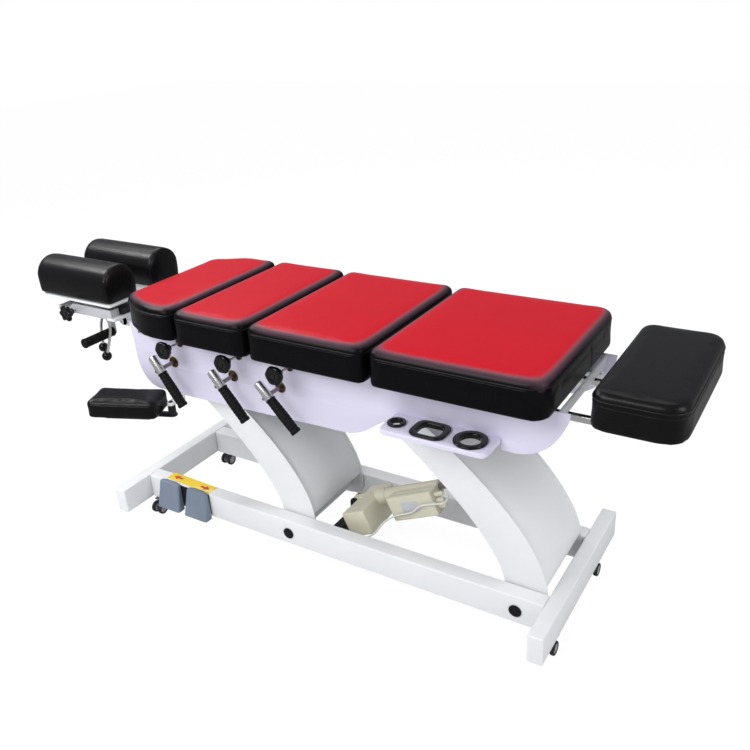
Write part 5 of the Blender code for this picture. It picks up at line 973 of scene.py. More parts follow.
def grip(section, x):
    """A rubber grip: its radius rises and falls along it, cut by lengthwise grooves, flared low."""
    centre, along = lever_frame(section, x)
    start, end = LEVER_CHROME - LEVER_ABOVE + 0.0006, LEVER_LENGTH - LEVER_ABOVE
    t = np.concatenate([[0.0, 0.0], np.linspace(0.004, 0.965, 92), [0.985, 1.0, 1.0]])
    cross = 0.0009 * np.maximum(0, np.sin(2 * math.pi * 11 * t)) ** 0.6
    body = LEVER_RADIUS + 0.0012 * np.sin(math.pi * np.clip(t, 0, 1)) ** 2 + cross
    flare = 0.0016 * np.exp(-((t - 0.955) / 0.03) ** 2) + 0.0014 * np.exp(-((t - 0.02) / 0.02) ** 2)
    radius = np.minimum(body + flare, 0.0172)
    radius[[0, -1]] = 0.0
    radius[1] = 0.0130
    radius[-2] = 0.0126
    radius[-3] = 0.0158
    angle = full_turn(72)
    grooves = 0.0007 * np.maximum(0, np.cos(12 * angle)) ** 2
    middle = np.clip(np.minimum(t - 0.08, 0.90 - t) / 0.03, 0, 1)
    ring_radius = np.maximum(radius[:, None] - grooves[None] * middle[:, None], 0)
    first_axis, second_axis, _ = across(along)
    ring = np.cos(angle)[:, None] * first_axis + np.sin(angle)[:, None] * second_axis
    grid = (centre + along * (start + (end - start) * t)[:, None])[:, None] \
        + ring_radius[..., None] * ring[None]
    piece = surface(section + "_handle", grid, sharp=60)
    return dress(piece, "rubber", section + "_lever", section + "_grip")


def star_knob(name, x, y, z, rod_end, lobes):
    """A moulded knob: six lobes that fade into a flat face, a cone hub and a thin rod along Y."""
    angle = full_turn(120)
    lobe = 1 - lobes + lobes * np.cos(6 * angle)
    radius = KNOB_RADIUS
    rows = [(0.0, -0.0062, 0), (0.30, -0.0062, 0), (0.34, -0.0072, 0), (0.62, -0.0080, 0.3),
            (0.84, -0.0076, 0.8), (0.95, -0.0060, 1), (1.0, -0.0030, 1), (1.0, 0.0040, 1),
            (0.95, 0.0066, 1), (0.80, 0.0080, 0.7), (0.52, 0.0085, 0.2), (0.46, 0.0095, 0),
            (0.36, 0.0270, 0), (0.30, 0.0280, 0), (0.0, 0.0280, 0)]
    rows = np.array(rows)
    spread = rows[:, 0, None] * (1 + (lobe[None] - 1) * rows[:, 2, None])
    grid = np.stack([x + radius * spread * np.cos(angle), np.broadcast_to(y + rows[:, 1, None],
                     spread.shape), z + radius * spread * np.sin(angle)], -1)
    knob = surface(name + "_star", grid, sharp=50)
    dress(knob, "gloss", name, name)
    rod = plain_rod(0.0037, 0.0, rod_end - y - 0.0280)
    dress(turned(name + "_rod", rod, (x, y + 0.0278, z), (0, 1, 0), 24), "steel", name)
    cap = turned(name + "_cap", domed(0.0066, 0.0035, 0.0012), (x, y - 0.0085, z), (0, 1, 0), 32)
    return dress(cap, "black_steel", name)


# Skirts, tool shelf and rings

SKIRT_OUTLINE = (
    (-0.6525, 0.7380), (-0.6450, 0.6700), (-0.6430, 0.5950), (-0.6213, 0.5453),
    (-0.5840, 0.5160), (-0.4380, 0.5120), (-0.0433, 0.5214), (0.0975, 0.5270),
    (0.2000, 0.5270), (0.2498, 0.5481), (0.2900, 0.5780), (0.3230, 0.5989),
    (0.3540, 0.6290), (0.6640, 0.6290), (0.6640, 0.5950), (0.7106, 0.5924), (0.7575, 0.6077),
    (0.7937, 0.6343), (0.8192, 0.6718), (0.8380, 0.7150), (0.8415, 0.7380),
)
SKIRT_ROUNDING = (0.002, 0.030, 0.050, 0.040, 0.060, 0.080, 0.120, 0.080, 0.060, 0.040, 0.040,
                  0.025, 0.004, 0.003, 0.004, 0.030, 0.040, 0.040, 0.040, 0.040, 0.002)
SHELF = (0.354, 0.664, -0.295, -0.1925, 0.632)
RINGS = (("grommet_small", 0.387, 0.026, 0.016), ("grommet_square", 0.4875, 0.051, 0.034),
         ("grommet_round", 0.603, 0.046, 0.028))
RING_Y = -0.246
RING_POINTS = 64


def hole_rim(name, x, z, radius):
    """The raised raw edge of a punched hole: a half-round bead turned about the hole."""
    angle = np.linspace(0, math.pi, 9)
    bead = np.column_stack([radius + 0.0014 + 0.0018 * np.cos(angle), 0.0017 * np.sin(angle)])
    profile = np.concatenate([bead, [(radius - 0.0004, -0.0032), (radius + 0.0002, -0.0032)]])
    rim = turned(name, profile, (x, -SKIRT_OUT, z), (0, -1, 0), 48, closed=True)
    return dress(rim, "lining", "top")


def skirt(name, side):
    """A flat skirt: its rounded outline in sheet metal, the near one with lever and knob holes."""
    outline = soften(SKIRT_OUTLINE, SKIRT_ROUNDING, 7)
    outlines = [outline]
    if side < 0:
        outlines += [circle((x, LEVER_Z), LEVER_HOLE, 48) for x in LEVER_X]
        outlines += [circle((x, KNOB_Z), KNOB_HOLE, 48) for x in KNOB_X]
    faces = span(side, SKIRT_IN, SKIRT_OUT)
    return flat_sheet(name, outlines, *faces, bevel=0.0007)


def ring_outline(index, x, radius):
    """A ring's outline at a radius: round, or a square with wide round corners for the middle."""
    if index != 1:
        return circle((x, RING_Y), radius, RING_POINTS)
    deep = radius * 0.86
    corners = rectangle(x - radius, x + radius, RING_Y - deep, RING_Y + deep)
    return evenly(soften(corners, radius * 0.62, 10), RING_POINTS, closed=True)


def shelf_pieces():
    """The shelf: a flat middle with three holes and a rolled edge that turns down into a lip."""
    left, right, front, back, top = SHELF
    corners = rectangle(left, right, front, back)
    radii = (0.022, 0.022, 0.0012, 0.0012)
    rows = ((0.0065, top), (0.0042, top), (0.0024, top - 0.0004), (0.0010, top - 0.0013),
            (0.0002, top - 0.0028), (0.0, top - 0.0045), (0.0, top - 0.0132),
            (0.0008, top - 0.0140), (0.0022, top - 0.0140), (0.0030, top - 0.0132),
            (0.0030, top - 0.0060), (0.0042, top - 0.0036), (0.0065, top - 0.0030))
    edge = surface("shelf_edge", rings_at(corners, radii, rows, 12), wrap_rows=True, sharp=45)
    middle = plan_ring(corners, radii, 0.0060, 12)
    holes = [ring_outline(i, x, hole + 0.0033) for i, (_, x, _, hole) in enumerate(RINGS)]
    sheet = flat_sheet("shelf_sheet", [middle, *holes], top - 0.0029, top - 0.00005, "Z", 0.0002)
    return [edge, sheet]


def ring(index, name, x, outer, hole):
    """A snap-in ring: a rounded collar above the shelf and a thin neck that runs through it."""
    top = SHELF[4] + 0.0002
    wall = outer - hole
    angle = np.linspace(0, math.pi / 2, 7)
    outer_round = [(outer - 0.0028 + 0.0028 * math.cos(a), top + 0.0030 + 0.0034 * math.sin(a))
                   for a in angle]
    inner_round = [(hole + 0.30 * wall - 0.30 * wall * math.sin(a), top + 0.0064
                    - 0.0044 * (1 - math.cos(a))) for a in angle]
    profile = [(outer - 0.0006, top), (outer, top + 0.0012)] + outer_round + inner_round \
        + [(hole, top - 0.0085), (hole + 0.0016, top - 0.0088), (hole + 0.0029, top - 0.0080),
           (hole + 0.0029, top)]
    grid = [np.column_stack([ring_outline(index, x, radius), np.full(RING_POINTS, z)])
            for radius, z in profile]
    piece = surface(name + "_moulding", np.array(grid), wrap_rows=True, sharp=50)
    return dress(piece, "gloss", "top", name)


def pan_screw(name, place, facing, body, radius, look):
    """A pan-head screw with a cross recess: a dome pressed in along two crossing lines."""
    t = np.concatenate([np.linspace(0, 1, 13), [1.0]])
    angle = full_turn(48)
    spread = radius * np.sin(t[:, None] * math.pi / 2) ** 0.85
    rise = 0.45 * radius * np.cos(t[:, None] * math.pi / 2) ** 0.7
    rise = np.where(t[:, None] >= 1, 0.0, rise + 0.0008)
    rise[-1] = -0.0003
    side, lift = spread * np.cos(angle), spread * np.sin(angle)
    recess = np.minimum(np.abs(side), np.abs(lift)) < 0.13 * radius
    recess = recess & (np.maximum(np.abs(side), np.abs(lift)) < 0.62 * radius)
    rise = np.broadcast_to(rise, side.shape) - 0.22 * radius * recess
    first, second, along = across(facing)
    grid = (np.asarray(place, float) + side[..., None] * first + lift[..., None] * second
            + rise[..., None] * along)
    piece = surface(name, grid, sharp=50)
    return dress(piece, look, body)


def near_skirt():
    """The near skirt with its shelf, raised hole edges, rings and screws, and the far skirt."""
    near = joined("skirt_near_sheet", skirt("near", -1), *shelf_pieces())
    dress(near, "skirt", "top", "skirt_near")
    dress(skirt("skirt_far_sheet", 1), "skirt", "top", "skirt_far")
    for index, x in enumerate(LEVER_X):
        hole_rim(f"lever_hole_rim_{index + 1}", x, LEVER_Z, LEVER_HOLE)
        washer = [(0.0078, -0.1885), (0.0190, -0.1885), (0.0190, -0.1903), (0.0084, -0.1903),
                  (0.0078, -0.1899)]
        washer = turned(f"lever_hole_washer_{index + 1}", washer, (x, 0, LEVER_Z), (0, 1, 0), 40,
                        closed=True)
        dress(washer, "lining", "top")
    for index, x in enumerate(KNOB_X):
        hole_rim(f"knob_hole_rim_{index + 1}", x, KNOB_Z, KNOB_HOLE)
    for index, (name, x, outer, hole) in enumerate(RINGS):
        ring(index, name, x, outer, hole)
    for label, side in SIDES:
        pan_screw(f"skirt_screw_{label}", (-0.6125, side * 0.1936, 0.7100), (0, side, 0), "top",
                  0.0046, "steel")


# Base: rails, cross feet, pedals and casters

RAIL_LOW = 0.054
RAIL_TOP = 0.144
RAIL_NEAR = -0.202
PEDAL_WIDTHS = (0.104, 0.088)
PEDAL_REACHES = (0.040, 0.017)
WHEEL_RADIUS = 0.021
TYRE_START = 0.0088
PEDALS = (("pedal_head", -0.5757), ("pedal_foot", -0.4487))
CASTERS = (("head_near", -0.655, -0.190), ("head_far", -0.655, 0.190),
           ("foot_near", 0.822, -0.190), ("foot_far", 0.822, 0.190))


def pedal(name, x):
    """A moulded pedal shell: an open-backed U that widens and deepens downwards, closed on top."""
    rows = []
    t = np.concatenate([[0.0, 0.02], np.linspace(0.06, 0.93, 14), [0.96, 0.98, 0.993, 1.0, 1.0, 1.0]])
    fold = np.concatenate([[0.0] * 16, [0.0003, 0.0013, 0.0030, 0.0058, 0.013, 0.024]])
    for share, inset in zip(t, fold):
        width = PEDAL_WIDTHS[0] + (PEDAL_WIDTHS[1] - PEDAL_WIDTHS[0]) * share - 2 * inset
        reach = PEDAL_REACHES[0] + (PEDAL_REACHES[1] - PEDAL_REACHES[0]) * share - inset
        back = -0.0105 + (0.0105 - 0.0055) * share
        hollow = 0.0022 * math.sin(math.pi * min(share, 1.0))
        front = RAIL_NEAR - max(reach, 0.0)
        rear = RAIL_NEAR + back + min(inset * 0.25, 0.003)
        rear = max(rear, front + 0.001)
        corners = ((x - width / 2, rear), (x - width / 2, front), (x, front + hollow),
                   (x + width / 2, front), (x + width / 2, rear))
        fillet = max(0.009 - inset * 0.3, 0.002)
        path = soften(corners, (0, fillet, 0.03, fillet, 0), 8, closed=False)
        rows.append(np.column_stack([evenly(path, 61), np.full(61, RAIL_LOW + 0.098 * share)]))
    shell = surface(name + "_moulding", np.array(rows), wrap_columns=False, capped=False, sharp=60)
    wall = shell.modifiers.new("wall", "SOLIDIFY")
    wall.thickness = 0.0026
    wall.offset = -1
    wall.use_even_offset = False
    return dress(shell, "pedal", name, name)


def pedal_strip():
    """A yellow strip on the rail's top beside the pedals with two plain red arrows."""
    ends = np.array(((-0.6168, -0.1867), (-0.4098, -0.2005), (-0.4055, -0.1564), (-0.6116, -0.1466)))
    tape = flat_sheet("pedal_strip", [ends], RAIL_TOP + 0.0001, RAIL_TOP + 0.0006, "Z", 0.0001)
    dress(tape, "strip", "base")
    along = unit(ends[1] - ends[0])
    square = unit(ends[3] - ends[0])
    shape = np.array(((0, -0.35), (0.45, -0.35), (0.45, -1.0), (1.0, 0.0), (0.45, 1.0), (0.45, 0.35),
                      (0, 0.35)))
    for index, (start, way) in enumerate(((0.058, -1), (0.150, 1))):
        corner = ends[0] + along * start + square * 0.0215
        outline = corner + shape[:, :1] * along * 0.042 * way + shape[:, 1:] * square * 0.0125
        arrow = flat_sheet(f"strip_arrow_{index + 1}", [outline], RAIL_TOP + 0.0006,
                           RAIL_TOP + 0.0009, "Z", 0.0001)
        dress(arrow, "arrow", "base")


def caster(place, x, y):
    """A swivel caster: top plate, ball race, stem and a slanted fin between twin tyres on hubs."""
    axle_y = y - 0.020
    fork_body, wheel_body = "caster_" + place, "wheels_" + place
    race = [(0.0, 0.0537), (0.0205, 0.0537), (0.021, 0.0532), (0.021, 0.0508), (0.0185, 0.0500),
            (0.0180, 0.0486), (0.0186, 0.0474), (0.0176, 0.0466), (0.0, 0.0466)]
    stem = [(0.0, 0.0530), (0.005, 0.0530), (0.005, 0.0665), (0.0042, 0.0675), (0.0, 0.0675)]
    outline = capsule((axle_y, WHEEL_RADIUS), (y, 0.0405), 0.0088, 18)
    fork = [flat_sheet("fin", [outline], x - 0.0072, x + 0.0072, "X", 0.0012),
            turned("race", race, (x, y, 0), UP, 40),
            block("plate", (x - 0.0200, y - 0.0200, 0.0492), (x + 0.0200, y + 0.0200, 0.0536),
                  0.0012, 3),
            turned("stem", stem, (x, y, 0), UP, 20)]
    dress(joined("fork_" + place, *fork), "zinc", fork_body, "caster_yoke_" + place)
    tyres, hubs = [], []
    for side in (-1, 1):
        centre = (x + side * TYRE_START, axle_y, WHEEL_RADIUS)
        profile = [(0.0152, 0.0), (0.0195, 0.0), (0.0206, 0.0010), (0.0210, 0.0028),
                   (0.0210, 0.0095), (0.0205, 0.0114), (0.0192, 0.0126), (0.0168, 0.0129),
                   (0.0150, 0.0122), (0.0146, 0.0110)]
        tyres.append(turned("tyre", profile, centre, (side, 0, 0), 48, closed=True))
        face = [(0.0, 0.0002), (0.0152, 0.0002), (0.0152, 0.0106), (0.0128, 0.0112), (0.0118, 0.0100),
                (0.0062, 0.0092), (0.0055, 0.0118), (0.0040, 0.0124), (0.0, 0.0124)]
        hubs.append(turned("hub", face, centre, (side, 0, 0), 40))
    hubs.append(turned("axle", plain_rod(0.0039, -0.0090, 0.0090), (x, axle_y, WHEEL_RADIUS), (1, 0, 0),
                       20))
    dress(joined("tyres_" + place, *tyres), "tyre", wheel_body, "caster_wheels_" + place)
    dress(joined("hubs_" + place, *hubs), "hub", wheel_body)


def base_tubes():
    """The two rails and the two cross feet, each with rounded edges."""
    for name, node_name, left, right, front, back in (
            ("rail_near_tube", "base_rail_near", -0.6882, 0.7992, -0.2020, -0.1510),
            ("rail_far_tube", "base_rail_far", -0.6882, 0.7992, 0.1510, 0.2020),
            ("head_foot_tube", "base_foot_head", -0.7335, -0.6885, -0.3245, 0.3245),
            ("end_foot_tube", "base_foot_end", 0.7995, 0.8445, -0.3245, 0.3245)):
        tube = block(name, (left, front, RAIL_LOW), (right, back, RAIL_TOP), 0.0045, 5)
        dress(tube, "white", "base", node_name)


def shaft_caps():
    """The black caps on the lower shafts' ends: a shallow dome with a turned ring."""
    for shift, label in ((0.0, "head"), (PIVOT_SPACING, "foot")):
        for name, side in SIDES:
            profile = np.concatenate([domed(0.0175, 0.0016, 0.0012)[:-2],
                                      [(0.0182, 0.0014), (0.0190, 0.0020), (0.0190, 0.0048),
                                       (0.0, 0.0048)]])
            start = (LOWER_PIVOT[0] + shift, side * 0.2070, LOWER_PIVOT[1])
            cap = turned(f"shaft_cap_{label}_{name}", profile, start, (0, -side, 0), 48)
            dress(cap, "gloss", "base")


# Actuator, its control box and the lead

ACTUATOR_SLOPE = math.atan2(ACTUATOR_FRONT[1] - ACTUATOR_REAR[1],
                            ACTUATOR_FRONT[0] - ACTUATOR_REAR[0])
REAR = (ACTUATOR_REAR[0], 0.0, ACTUATOR_REAR[1])


def leaned(piece):
    """Turns a piece that was drawn level about the rear pin to the actuator's slope."""
    place = Matrix.Translation(REAR)
    piece.data.transform(place @ Matrix.Rotation(-ACTUATOR_SLOPE, 4, "Y") @ place.inverted())
    return piece


def actuator():
    """Motor box with its seam, rear eye, collar, outer tube with a wiper end, and rod with its eye."""
    x, z = ACTUATOR_REAR
    low = np.array((x + 0.017, -0.114, z - 0.0765))
    high = np.array((x + 0.107, 0.076, z + 0.0090))
    pieces = [block("motor", low, high, 0.0065, 5)]
    pieces.append(block("seam", (low[0] - 0.0007, low[1] + 0.030, low[2] - 0.0007),
                        (high[0] + 0.0007, low[1] + 0.0345, high[2] + 0.0007), 0.0060, 3))
    collar = [(0.0, 0.100), (0.0285, 0.100), (0.0290, 0.104), (0.0270, 0.122), (0.0238, 0.134),
              (0.0, 0.134)]
    pieces.append(turned("collar", collar, REAR, (1, 0, 0), 48))
    eye = flat_sheet("eye", [capsule((x, z), (x + 0.031, z), 0.014), circle((x, z), 0.0066, 24)],
                     -0.0115, 0.0115, bevel=0.001)
    pieces.append(eye)
    housing = joined("actuator_housing", *pieces)
    dress(leaned(housing), "beige", "actuator", "actuator_body")
    outer = [(0.0108, 0.130), (0.0222, 0.130), (0.0222, 0.336), (0.0225, 0.337), (0.0225, 0.343),
             (0.0205, 0.345), (0.0118, 0.345), (0.0108, 0.342)]
    outer = turned("actuator_tube", outer, REAR, (1, 0, 0), 56, closed=True)
    dress(leaned(outer), "beige", "actuator")
    length = float(np.linalg.norm(np.subtract(ACTUATOR_FRONT, ACTUATOR_REAR)))
    rod = [(0.0, 0.270), (0.0094, 0.270), (0.0099, 0.271), (0.0099, length - 0.0160),
           (0.0, length - 0.0160)]
    front = (x + length, z)
    eye = flat_sheet("rod_eye", [circle(front, 0.0171, 48), circle(front, 0.0126, 40)],
                     -0.0070, 0.0070, bevel=0.001)
    rod = joined("actuator_piston", turned("rod", rod, REAR, (1, 0, 0), 40), eye)
    dress(leaned(rod), "steel", "actuator_rod", "actuator_rod")


CASE_SPAN = (0.180, 0.352)
CASE_BACK = -0.0228
CASE_DEPTH = 0.050
CASE_LEVELS = (-0.063, 0.019)


def control_case():
    """The control box: two moulded halves with a parting groove, a bare plate and three plugs."""
    x, z = ACTUATOR_REAR
    low = np.array((x + CASE_SPAN[0], CASE_BACK - CASE_DEPTH, z + CASE_LEVELS[0]))
    high = np.array((x + CASE_SPAN[1], CASE_BACK, z + CASE_LEVELS[1]))
    split = CASE_BACK - 0.021
    rear = block("rear", (low[0] + 0.0006, split - 0.002, low[2] + 0.0006),
                 (high[0] - 0.0006, high[1], high[2] - 0.0006), 0.005, 5)
    lid = block("lid", low, (high[0], split - 0.0008, high[2]), 0.006, 6)
    pieces = [rear, lid]
    for px in (low[0] + 0.010, high[0] - 0.010):
        for pz in (low[2] + 0.010, high[2] - 0.010):
            rim = [(0.0022, -0.0004), (0.0036, -0.0004), (0.0036, 0.0006), (0.0022, 0.0006)]
            pieces.append(turned("boss", rim, (px, low[1], pz), (0, -1, 0), 24, closed=True))
    case = joined("control_case", *pieces)
    dress(leaned(case), "beige", "actuator", "control_box")
    plate = block("control_plate", (low[0] + 0.050, low[1] - 0.0005, low[2] + 0.024),
                  (high[0] - 0.058, low[1] + 0.0006, high[2] - 0.022), 0.0004, 2)
    dress(leaned(plate), "badge", "actuator")
    plugs = []
    for row in (-1, 0, 1):
        profile = [(0.0, -0.002), (0.0080, -0.002), (0.0080, 0.008), (0.0074, 0.009),
                   (0.0074, 0.0125), (0.0080, 0.0135), (0.0078, 0.020), (0.0064, 0.0235)]
        if row == 1:
            profile += [(0.0052, 0.0270), (0.0042, 0.0300), (0.0, 0.0300)]
        else:
            profile += [(0.0056, 0.0248), (0.0, 0.0252)]
        plugs.append(turned("plug", profile, (high[0], CASE_BACK - 0.025, z - 0.022 + row * 0.020),
                            (1, 0, 0), 32))
    plugs = joined("control_plugs", *plugs)
    dress(leaned(plugs), "beige", "actuator")


LEAD_RADIUS = 0.003
LEAD_ROUTE = (
    (0.4203, -0.0478, 0.3058), (0.4327, -0.0510, 0.3102), (0.4428, -0.0640, 0.3049),
    (0.4362, -0.0780, 0.2930), (0.4000, -0.0815, 0.2790), (0.3579, -0.0800, 0.2590),
    (0.3256, -0.0790, 0.2250), (0.2700, -0.0800, 0.1950),
    (0.2320, -0.0900, 0.1660), (0.2060, -0.1180, 0.1290), (0.1640, -0.1360, 0.1030),
    (0.1550, -0.1480, 0.0990),
)


def control_lead():
    """The lead from the upper plug over the box to the rail: a round tube along a smooth curve."""
    path = smooth_path(LEAD_ROUTE, 40)
    cord = swept("lead", path, round_section(LEAD_RADIUS, 14), up=(0.3, 1.0, 0.2), sharp=180)
    dress(cord, "lead", "actuator", "control_lead")


# Head section

TILT = (-0.860, 0.0, 0.660)
TRAY_SPAN = (-1.050, -0.800)
TRAY_HALF_WIDTH = 0.160
TRAY_LOW = 0.709
STRIP_SPAN = (-0.802, -0.757)
CARRIAGE_SPAN = (-1.100, -0.755)
CARRIAGE_HALF_WIDTH = 0.175
BOX_SPAN = (-1.060, -0.800)
BOX_HALF_WIDTH = 0.120
CARRIAGE_LOW = 0.745
POSTS_X = (-1.010, -0.840)
HANDLE = (-0.905, 0.615)
HANDLE_RADIUS = 0.0168
HANDLE_LENGTH = 0.133
BALL_RADIUS = 0.0175
BALL_ROD_RADIUS = 0.0050
BALL_LEVERS = (("ball_lever_near", -0.112, ((-0.868, 0.700), (-0.856, 0.676), (-0.856, 0.650),
                                            (-0.868, 0.612), (-0.887, 0.568), (-0.902, 0.537))),
               ("ball_lever_far", -0.082, ((-0.900, 0.700), (-0.928, 0.664), (-0.941, 0.625),
                                           (-0.946, 0.580), (-0.949, 0.552))))


def pressed_lid(name, corners, radius, rows):
    """A pressed tray or lid: one rounded plan drawn in or out and lifted row by row."""
    return surface(name, rings_at(corners, [radius] * 4, rows, 8), sharp=40)


def tilt_frame():
    """The tray: a floor with a rolled rim, side walls, two end strips, lugs, ears and a block."""
    low, top = TRAY_LOW, TRAY_LOW + 0.018
    corners = rectangle(*TRAY_SPAN, -TRAY_HALF_WIDTH, TRAY_HALF_WIDTH)
    rows = ((0.0040, low), (0.0012, low + 0.0008), (0.0, low + 0.0030), (0.0, top - 0.0010),
            (0.0008, top), (0.0022, top), (0.0030, top - 0.0010), (0.0030, low + 0.0045),
            (0.0042, low + 0.0030))
    pieces = [pressed_lid("tray", corners, 0.006, rows)]
    wall = [(-0.985, low + 0.002), (-0.790, low + 0.002), (-0.778, low + 0.010), (-0.778, 0.744),
            (-0.968, 0.744), (-0.985, 0.730)]
    for side in (-1, 1):
        faces = span(side, 0.158, 0.1545)
        pieces.append(flat_sheet("wall", [wall], *faces, bevel=0.0008))
        turned_in = span(side, 0.157, 0.122)
        pieces.append(block("wall_end", (-0.7815, turned_in[0], low + 0.006),
                            (-0.7780, turned_in[1], 0.744), 0.0012, 3))
    dress(joined("tilt_tray", *pieces), "tray", "head_tilt", "head_tilt_frame")
    strips = []
    for side in (-1, 1):
        inner, outer = span(side, 0.052, 0.165)
        corners = rectangle(*STRIP_SPAN, inner, outer)
        strips.append(pressed_lid("strip", corners, 0.012,
                                  ((0.0020, low - 0.001), (0.0, low), (0.0, low + 0.007),
                                   (0.0012, low + 0.008), (0.0030, low + 0.008))))
    dress(joined("tray_strips", *strips), "white", "head_tilt")
    pieces = []
    for side in (-1, 1):
        faces = span(side, 0.028, 0.034)
        lug = [capsule((TILT[0], TILT[2]), (TILT[0], low - 0.0185), 0.020, 20),
               circle((TILT[0], TILT[2]), 0.0086, 32)]
        pieces.append(flat_sheet("lug", lug, *faces))
    lug = [capsule(HANDLE, (HANDLE[0], low - 0.0105), 0.013, 18)]
    pieces.append(flat_sheet("handle_lug", lug, -0.0617, -0.0557))
    for _, y, route in BALL_LEVERS:
        x, z = route[0]
        pieces.append(block("ear", (x - 0.007, y + 0.0058, z - 0.007),
                            (x + 0.007, y + 0.0108, low + 0.001), 0.0015, 3))
    dress(joined("tilt_lugs", *pieces), "plate", "head_tilt")
    catch = block("tray_block", (-0.7990, -0.118, low + 0.0074), (-0.7680, -0.070, 0.7455),
                  0.003, 4)
    dress(catch, "black_steel", "head_tilt")


def carriage():
    """A wide thin plate under both head cushions, its stiffening box and four guide posts."""
    low, top = CARRIAGE_LOW, HEAD_UNDERSIDE - 0.0003
    corners = rectangle(*CARRIAGE_SPAN, -CARRIAGE_HALF_WIDTH, CARRIAGE_HALF_WIDTH)
    rows = ((0.0060, top), (0.0012, top), (0.0, top - 0.0014), (0.0, top - 0.0062),
            (0.0014, top - 0.0076), (0.0100, top - 0.0076))
    plate = pressed_lid("plate", corners, 0.012, rows)
    corners = rectangle(*BOX_SPAN, -BOX_HALF_WIDTH, BOX_HALF_WIDTH)
    rows = ((0.0, top - 0.0070), (0.0, low + 0.0008), (0.0008, low), (0.0022, low),
            (0.0030, low + 0.0008), (0.0030, top - 0.0125), (0.0045, top - 0.0110))
    box = pressed_lid("box", corners, 0.012, rows)
    dress(joined("carriage_lid", plate, box), "white", "head_drop", "head_carriage")
    posts = []
    for x in POSTS_X:
        for side in (-1, 1):
            post = [(0.0, 0.0), (0.008, 0.0), (0.009, 0.001), (0.009, 0.0735), (0.0, 0.0735)]
            posts.append(turned("post", post, (x, side * HEAD_Y, 0.6915), UP, 32))
    dress(joined("carriage_posts", *posts), "steel", "head_drop")


def head_handle():
    """A ribbed round handle that stands out sideways below the tray, with a flared end."""
    t = np.linspace(0, 1, 140)
    ribs = 0.0012 * (0.5 + 0.5 * np.cos(2 * math.pi * 22 * t))
    middle = np.clip(np.minimum(t - 0.05, 0.95 - t) / 0.03, 0, 1)
    radius = HANDLE_RADIUS + 0.0009 * np.exp(-((t - 0.02) / 0.02) ** 2) \
        + 0.0009 * np.exp(-((t - 0.975) / 0.02) ** 2) - ribs * middle
    profile = [(0.0, 0.0), (0.0145, 0.0)] + [(r, 0.0012 + 0.1306 * s) for r, s in zip(radius, t)] \
        + [(0.0145, HANDLE_LENGTH), (0.0, HANDLE_LENGTH)]
    handle = turned("handle_sleeve", profile, (HANDLE[0], -0.062, HANDLE[1]), (0, -1, 0), 60,
                    sharp=60)
    dress(handle, "rubber", "head_handle", "head_handle")
    shaft = [(0.0, 0.0), (0.0058, 0.0), (0.0058, 0.0115), (0.0050, 0.0120), (0.0, 0.0120)]
    shaft = turned("handle_shaft", shaft, (HANDLE[0], -0.0615, HANDLE[1]), (0, 1, 0), 28)
    dress(shaft, "steel", "head_handle")


def ball_lever(name, y, route):
    """A bent rod from a round knuckle to a ball, with its pin."""
    places = [(x, y, z) for x, z in route]
    rod = swept("rod", smooth_path(places, 48), round_section(BALL_ROD_RADIUS, 16), up=(0, 1, 0), sharp=180)
    angle = np.linspace(0, math.pi, 19)
    knuckle = np.column_stack([0.0062 * np.sin(angle), -0.0057 * np.cos(angle)])
    pin = [(0.0, 0.0), (0.0024, 0.0), (0.0024, 0.0115), (0.0018, 0.0120), (0.0, 0.0120)]
    stick = joined(name + "_rod", rod, turned("knuckle", knuckle, places[0], (0, 1, 0), 28),
                   turned("pin", pin, places[0], (0, 1, 0), 16))
    dress(stick, "chrome", name, name)
    ball = np.column_stack([BALL_RADIUS * np.sin(angle), -BALL_RADIUS * np.cos(angle)])
    outward = unit(np.subtract(places[-1], places[-2]))
    ball = turned(name + "_ball", ball, places[-1], outward, 40, sharp=180)
    dress(ball, "gloss", name)


ARM_BAR_YAW = 20
ARM_BAR_LENGTH = 0.170
ARM_BAR_LEVELS = (0.430, 0.436)
SLIDE_SPAN = (0.530, 1.080)
SLIDE_Y = 0.108
SLIDE_HALF_WIDTH = 0.0075
SLIDE_LEVELS = (0.6770, 0.6950)
SLIDE_BARS = (0.930, 1.060)


def armrest_bar(name, body, side):
    """A flat bar with round ends, its hinge pin and the collar under the ear."""
    x, y = ARM_HINGE[0], side * ARM_HINGE[1]
    yaw = math.radians(ARM_BAR_YAW)
    end = (x - math.cos(yaw) * ARM_BAR_LENGTH, y + side * math.sin(yaw) * ARM_BAR_LENGTH)
    bar = flat_sheet("bar", [capsule((x, y), end, 0.016, 20)], *ARM_BAR_LEVELS, "Z", 0.001)
    collar = [(0.0, 0.4345), (0.0130, 0.4345), (0.0130, 0.4685), (0.0122, 0.4697), (0.0, 0.4697)]
    pin = [(0.0, 0.468), (0.006, 0.468), (0.006, 0.4815), (0.0050, 0.4828), (0.0, 0.4830)]
    piece = joined(name, bar, turned("collar", collar, (x, y, 0), UP, 40),
                   turned("pin", pin, (x, y, 0), UP, 28))
    return dress(piece, "black_steel", body, body + "_bar")


